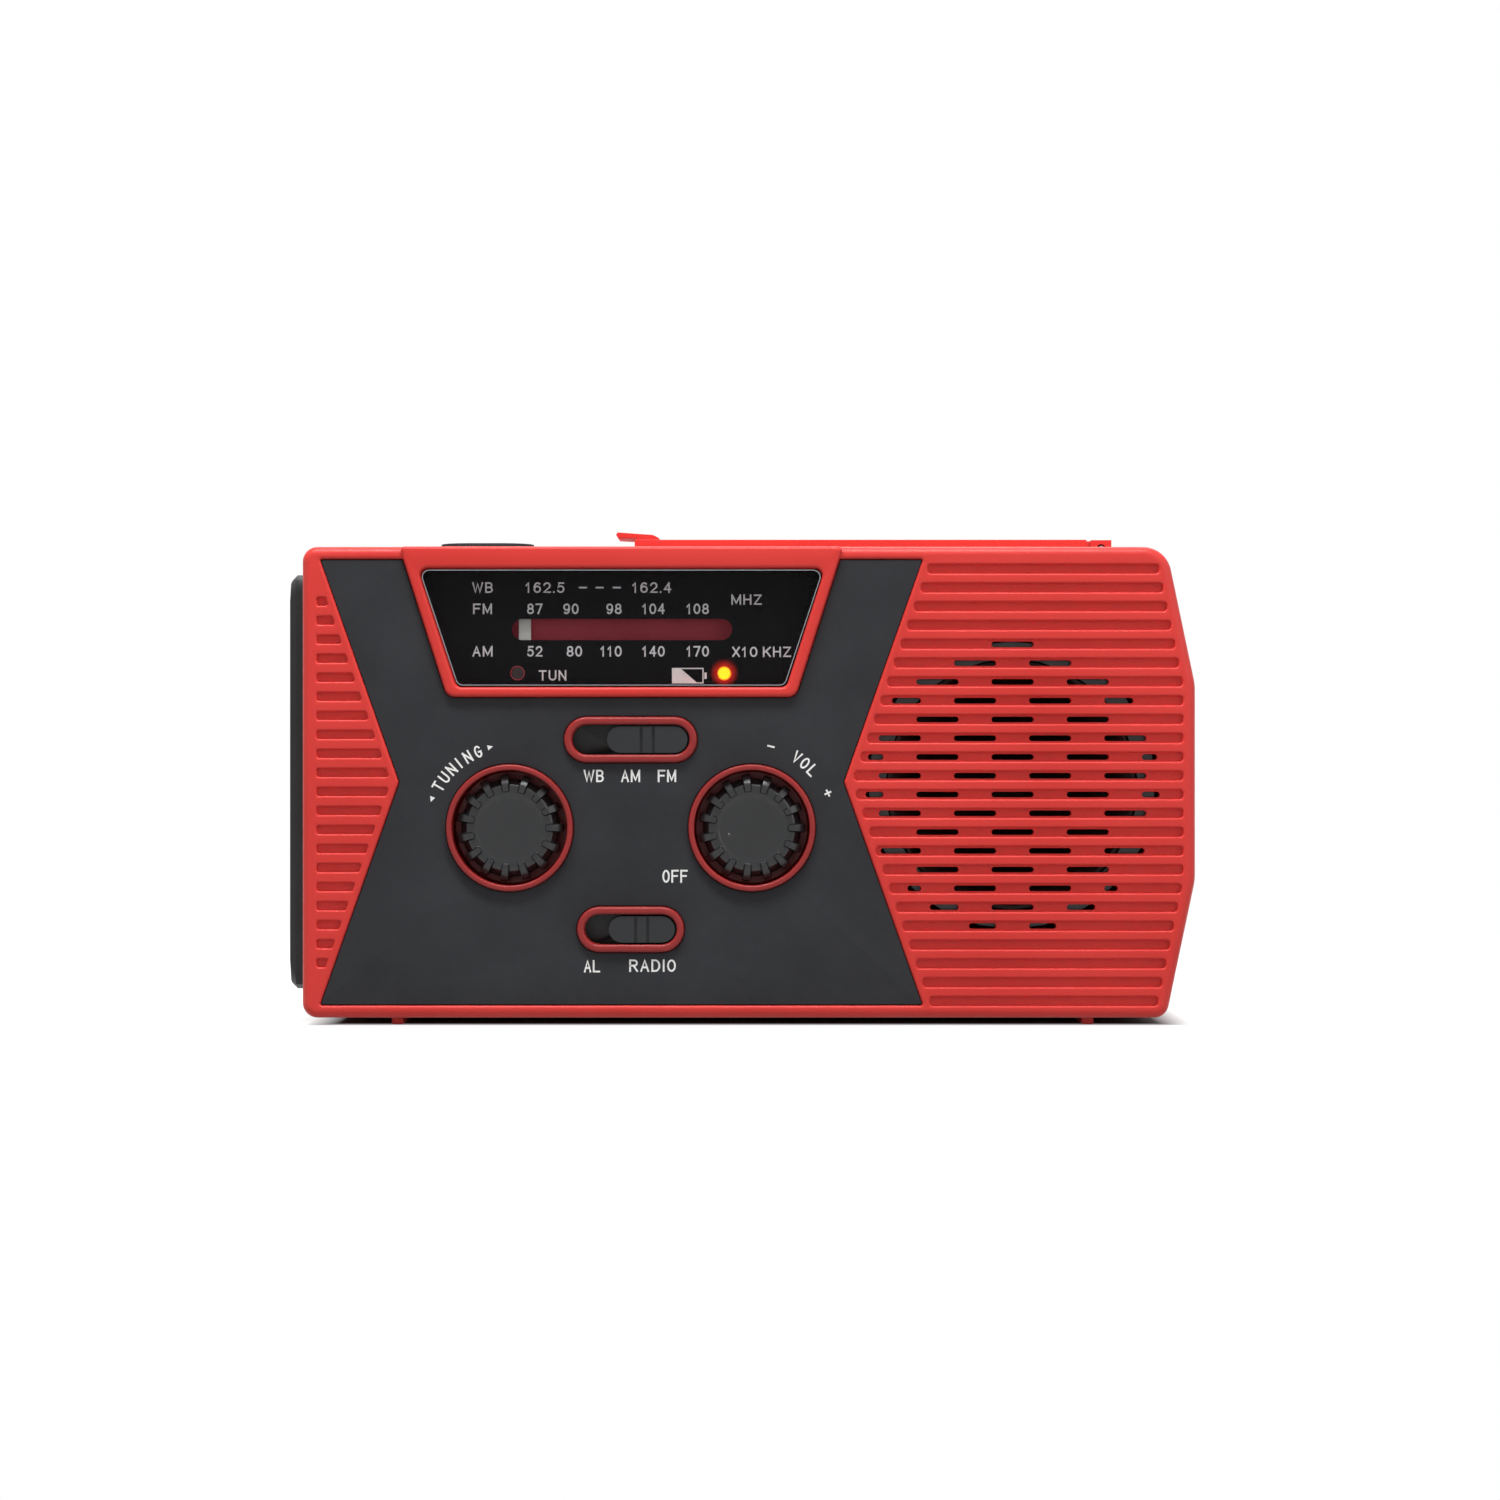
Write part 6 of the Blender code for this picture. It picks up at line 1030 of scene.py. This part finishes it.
def antennaTubes():
    # Each tube is a ring profile carried round the antenna's axis, its ends eased by the edge.
    a = antennaShape
    e = a["edge"]
    for node, body in (("antenna_tube_1", "antenna"), ("antenna_tube_2", "antenna_middle")):
        low, high = boxOf(node)
        outer = (high.z - low.z) / 2
        inner = outer - a["wall"]
        profile = [(inner, low.x), (outer - e, low.x), (outer, low.x + e), (outer, high.x - e),
                   (outer - e, high.x), (inner, high.x), (inner, low.x)]
        endPiece(node + "_drawn", node, profile, body, "chromedTube", 64)
    low, high = boxOf("antenna_tube_3")
    tip, rod, neck = (high.z - low.z) / 2, a["rod"], low.x + a["tip"]
    corners = [(0, low.x), (tip, low.x), (tip, neck), (rod, neck), (rod, high.x), (0, high.x)]
    endPiece("antenna_tube_3_drawn", "antenna_tube_3", smoothProfile(corners, a["tipRound"]), "antenna_inner",
             "chromedTube", 64)


def crankGrip():
    # Radius = outer radius less a cosine flute that fades towards both ends.
    g = gripShape
    low, high = boxOf("crank_grip")
    axis, outer = axisOf("crank_grip"), (high.z - low.z) / 2 * g["sizeShare"]
    bore, e, count = g["bore"], g["edge"], g["rows"]
    side = np.stack([np.full(count, outer), np.linspace(low.x + e, high.x - e, count)], 1)
    ends = [(outer - e, high.x), (bore, high.x), (bore, low.x)]
    rows = np.concatenate([[(bore, low.x), (outer - e, low.x)], side, ends])
    steps = g["flutes"] * 16
    points, faces = turnedSurface(rows, axis, "end", steps)
    grid = points.reshape(len(rows), steps, 3)
    turn = np.arange(steps) * 2 * np.pi / steps
    share = np.zeros(len(rows))
    share[2:2 + count] = np.sin(np.linspace(0, np.pi, count)) ** 0.5
    cutIn = 1 - share[:, None] * g["fluteDepth"] / outer * (0.5 + 0.5 * np.cos(g["flutes"] * turn))
    for i in (1, 2):
        grid[:, :, i] = axis[i] + (grid[:, :, i] - axis[i]) * cutIn
    makePiece("crank_grip_fluted", [(grid.reshape(-1, 3), faces)], "grip", "blackAbs", ("crank_grip",), 50)


torchParts()
antennaTubes()
crankGrip()
print("torch, antenna and grip made")

nodeLooks = {
    "siliconCell": ["solar_cell"],
    "maskInk": ["dial_mask"],
    "blackAbs": ["top_button_switch"],
    "dialCard": ["dial_backing"],
    "enamelledSteel": ["speaker_frame"],
    "siliconeRubber": ["dial_cord"],
    "nylon": ["dial_drum", "tuning_capacitor", "drive_gear", "compound_gear"],
    "platedSteel": ["volume_shaft", "volume_control", "band_switch_body", "function_switch_body",
                    "speaker_magnet", "lid_hinge_pin", "case_screw_1", "case_screw_2", "case_screw_3",
                    "case_screw_4", "grip_pin", "crank_shaft", "compound_gear_axle", "generator_housing",
                    "gearbox_plate"],
    "conePaper": ["speaker_cone"],
    "circuitBoard": ["main_board"],
    "ledRed": ["tuning_led"],
    "ledAmber": ["charge_led"],
    "ferrite": ["ferrite_rod"],
    "enamelledCopper": ["ferrite_coil"],
    "shrinkSleeve": ["battery_cell"],
    "turnedBrass": ["generator_rotor"],
}
for look, names in nodeLooks.items():
    for node in names:
        nodes[node].data.materials.clear()
        nodes[node].data.materials.append(looks[look])


# Stage, light and camera, in metres but for the camera's sizes

stageLook = {"floor": "#949494", "lift": 0.86, "near": 0.13, "far": 0.36, "sky": 0.46, "shadowEdge": 0.006,
             "radius": 3.0}
cameraShape = {"distance": 600.0, "across": 0.2, "height": 47.8, "frame": 260.0, "sensor": 36.0}
lamps = [
    # name, place, width, height, watts, aimed at the middle of the radio
    ("key", (-0.05, -0.21, 0.53), 0.42, 0.1, 3.0), ("fill", (0.85, -0.75, 0.45), 0.8, 0.8, 1.8),
    ("back", (0.1, 0.7, 0.9), 0.8, 0.8, 3.5),
]


def seenRays(tree):
    # 1 for the rays that are seen, straight, by gloss or through clear pieces, and 0 for those that light.
    rays = addNode(tree, "LightPath", {})
    seen = rays.outputs["Is Camera Ray"]
    for kind in ("Is Glossy Ray", "Is Transmission Ray"):
        seen = addNode(tree, "Math", {"operation": "MAXIMUM"}, {0: seen, 1: rays.outputs[kind]})
    return seen


def makeFloor():
    # A pale floor that fades to white away from the radio. Its lift ends under the case's footprint, so that
    # the gap between the feet stays dark: a painted shadow in the shape of that box, where only the floor's
    # real shade is left.
    s = stageLook
    material, tree, place = newMaterial("paintedFloor")
    seen = seenRays(tree)
    away = addNode(tree, "VectorMath", {"operation": "LENGTH"}, {0: place}).outputs["Value"]
    span = {"From Min": s["near"], "From Max": s["far"], "interpolation_type": "SMOOTHSTEP"}
    fade = addNode(tree, "MapRange", span, {"Value": away})
    share = addNode(tree, "Math", {"operation": "MULTIPLY"}, {0: fade, 1: seen})
    low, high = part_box("front_case")[0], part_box("rear_case")[1]
    middle, half = (low + high) / 2, (high - low) / 2
    apart = addNode(tree, "VectorMath", {"operation": "SUBTRACT", 1: (middle.x, middle.y, 0)}, {0: place})
    apart = addNode(tree, "VectorMath", {"operation": "ABSOLUTE"}, {0: apart})
    apart = addNode(tree, "VectorMath", {"operation": "SUBTRACT", 1: (half.x, half.y, 0)}, {0: apart})
    apart = addNode(tree, "SeparateXYZ", {}, {0: apart})
    beyond = addNode(tree, "Math", {"operation": "MAXIMUM"}, {0: apart.outputs[0], 1: apart.outputs[1]})
    # the lift falls to nothing under the case: painted shadow with a soft edge
    span = {"From Min": -s["shadowEdge"], "From Max": 0.0, "To Max": s["lift"]}
    bare = addNode(tree, "MapRange", span, {"Value": beyond})
    lifted = addNode(tree, "Math", {"operation": "MULTIPLY"}, {0: seen, 1: bare})
    paint = addNode(tree, "BsdfDiffuse", {"Color": linear(s["floor"])})
    lift = addNode(tree, "Emission", {}, {"Strength": lifted})
    near = addNode(tree, "AddShader", {}, {0: paint, 1: lift})
    white = addNode(tree, "Emission", {"Color": (1, 1, 1, 1), "Strength": 1.0})
    mix = addNode(tree, "MixShader", {}, {0: share, 1: near, 2: white})
    addNode(tree, "OutputMaterial", {}, {"Surface": mix})
    loop = circleLoop(0, 0, s["radius"], 64)
    mesh = bpy.data.meshes.new("floor")
    mesh.from_pydata(inSpace(loop, 0.0, "top"), [], [list(range(len(loop)))])
    mesh.materials.append(material)
    addObject("floor", mesh)


def makeWorld():
    # White to the rays that are seen, and dimmer for those that light the radio.
    world = bpy.data.worlds.new("studio")
    bpy.context.scene.world = world
    world.use_nodes = True
    tree = world.node_tree
    tree.nodes.clear()
    span = {"To Min": stageLook["sky"], "To Max": 1.0}
    strength = addNode(tree, "MapRange", span, {"Value": seenRays(tree)})
    light = addNode(tree, "Background", {"Color": (1, 1, 1, 1)}, {"Strength": strength})
    addNode(tree, "OutputWorld", {}, {"Surface": light})


def makeLamps():
    target = Vector((0, 0, middleZ * mm))
    for name, place, width, height, watts in lamps:
        data = bpy.data.lights.new(name, "AREA")
        data.shape = "RECTANGLE"
        data.size = width
        data.size_y = height
        data.energy = watts
        lamp = addObject(name, data)
        lamp.location = place
        lamp.rotation_euler = (target - Vector(place)).to_track_quat("-Z", "Y").to_euler()


def makeCamera():
    # Level and square to the front, as far off as the photograph's perspective asks.
    c = cameraShape
    data = bpy.data.cameras.new("camera")
    data.sensor_width = c["sensor"]
    data.lens = c["sensor"] * c["distance"] / c["frame"]
    data.clip_start = 0.01
    camera = addObject("camera", data)
    camera.location = Vector((bodyMiddle + c["across"], faceY - c["distance"], c["height"])) * mm
    camera.rotation_euler = (np.pi / 2, 0, 0)
    bpy.context.scene.camera = camera


makeFloor()
makeWorld()
makeLamps()
makeCamera()
bpy.context.scene.view_settings.view_transform = "Standard"
print("stage, lamps and camera made")
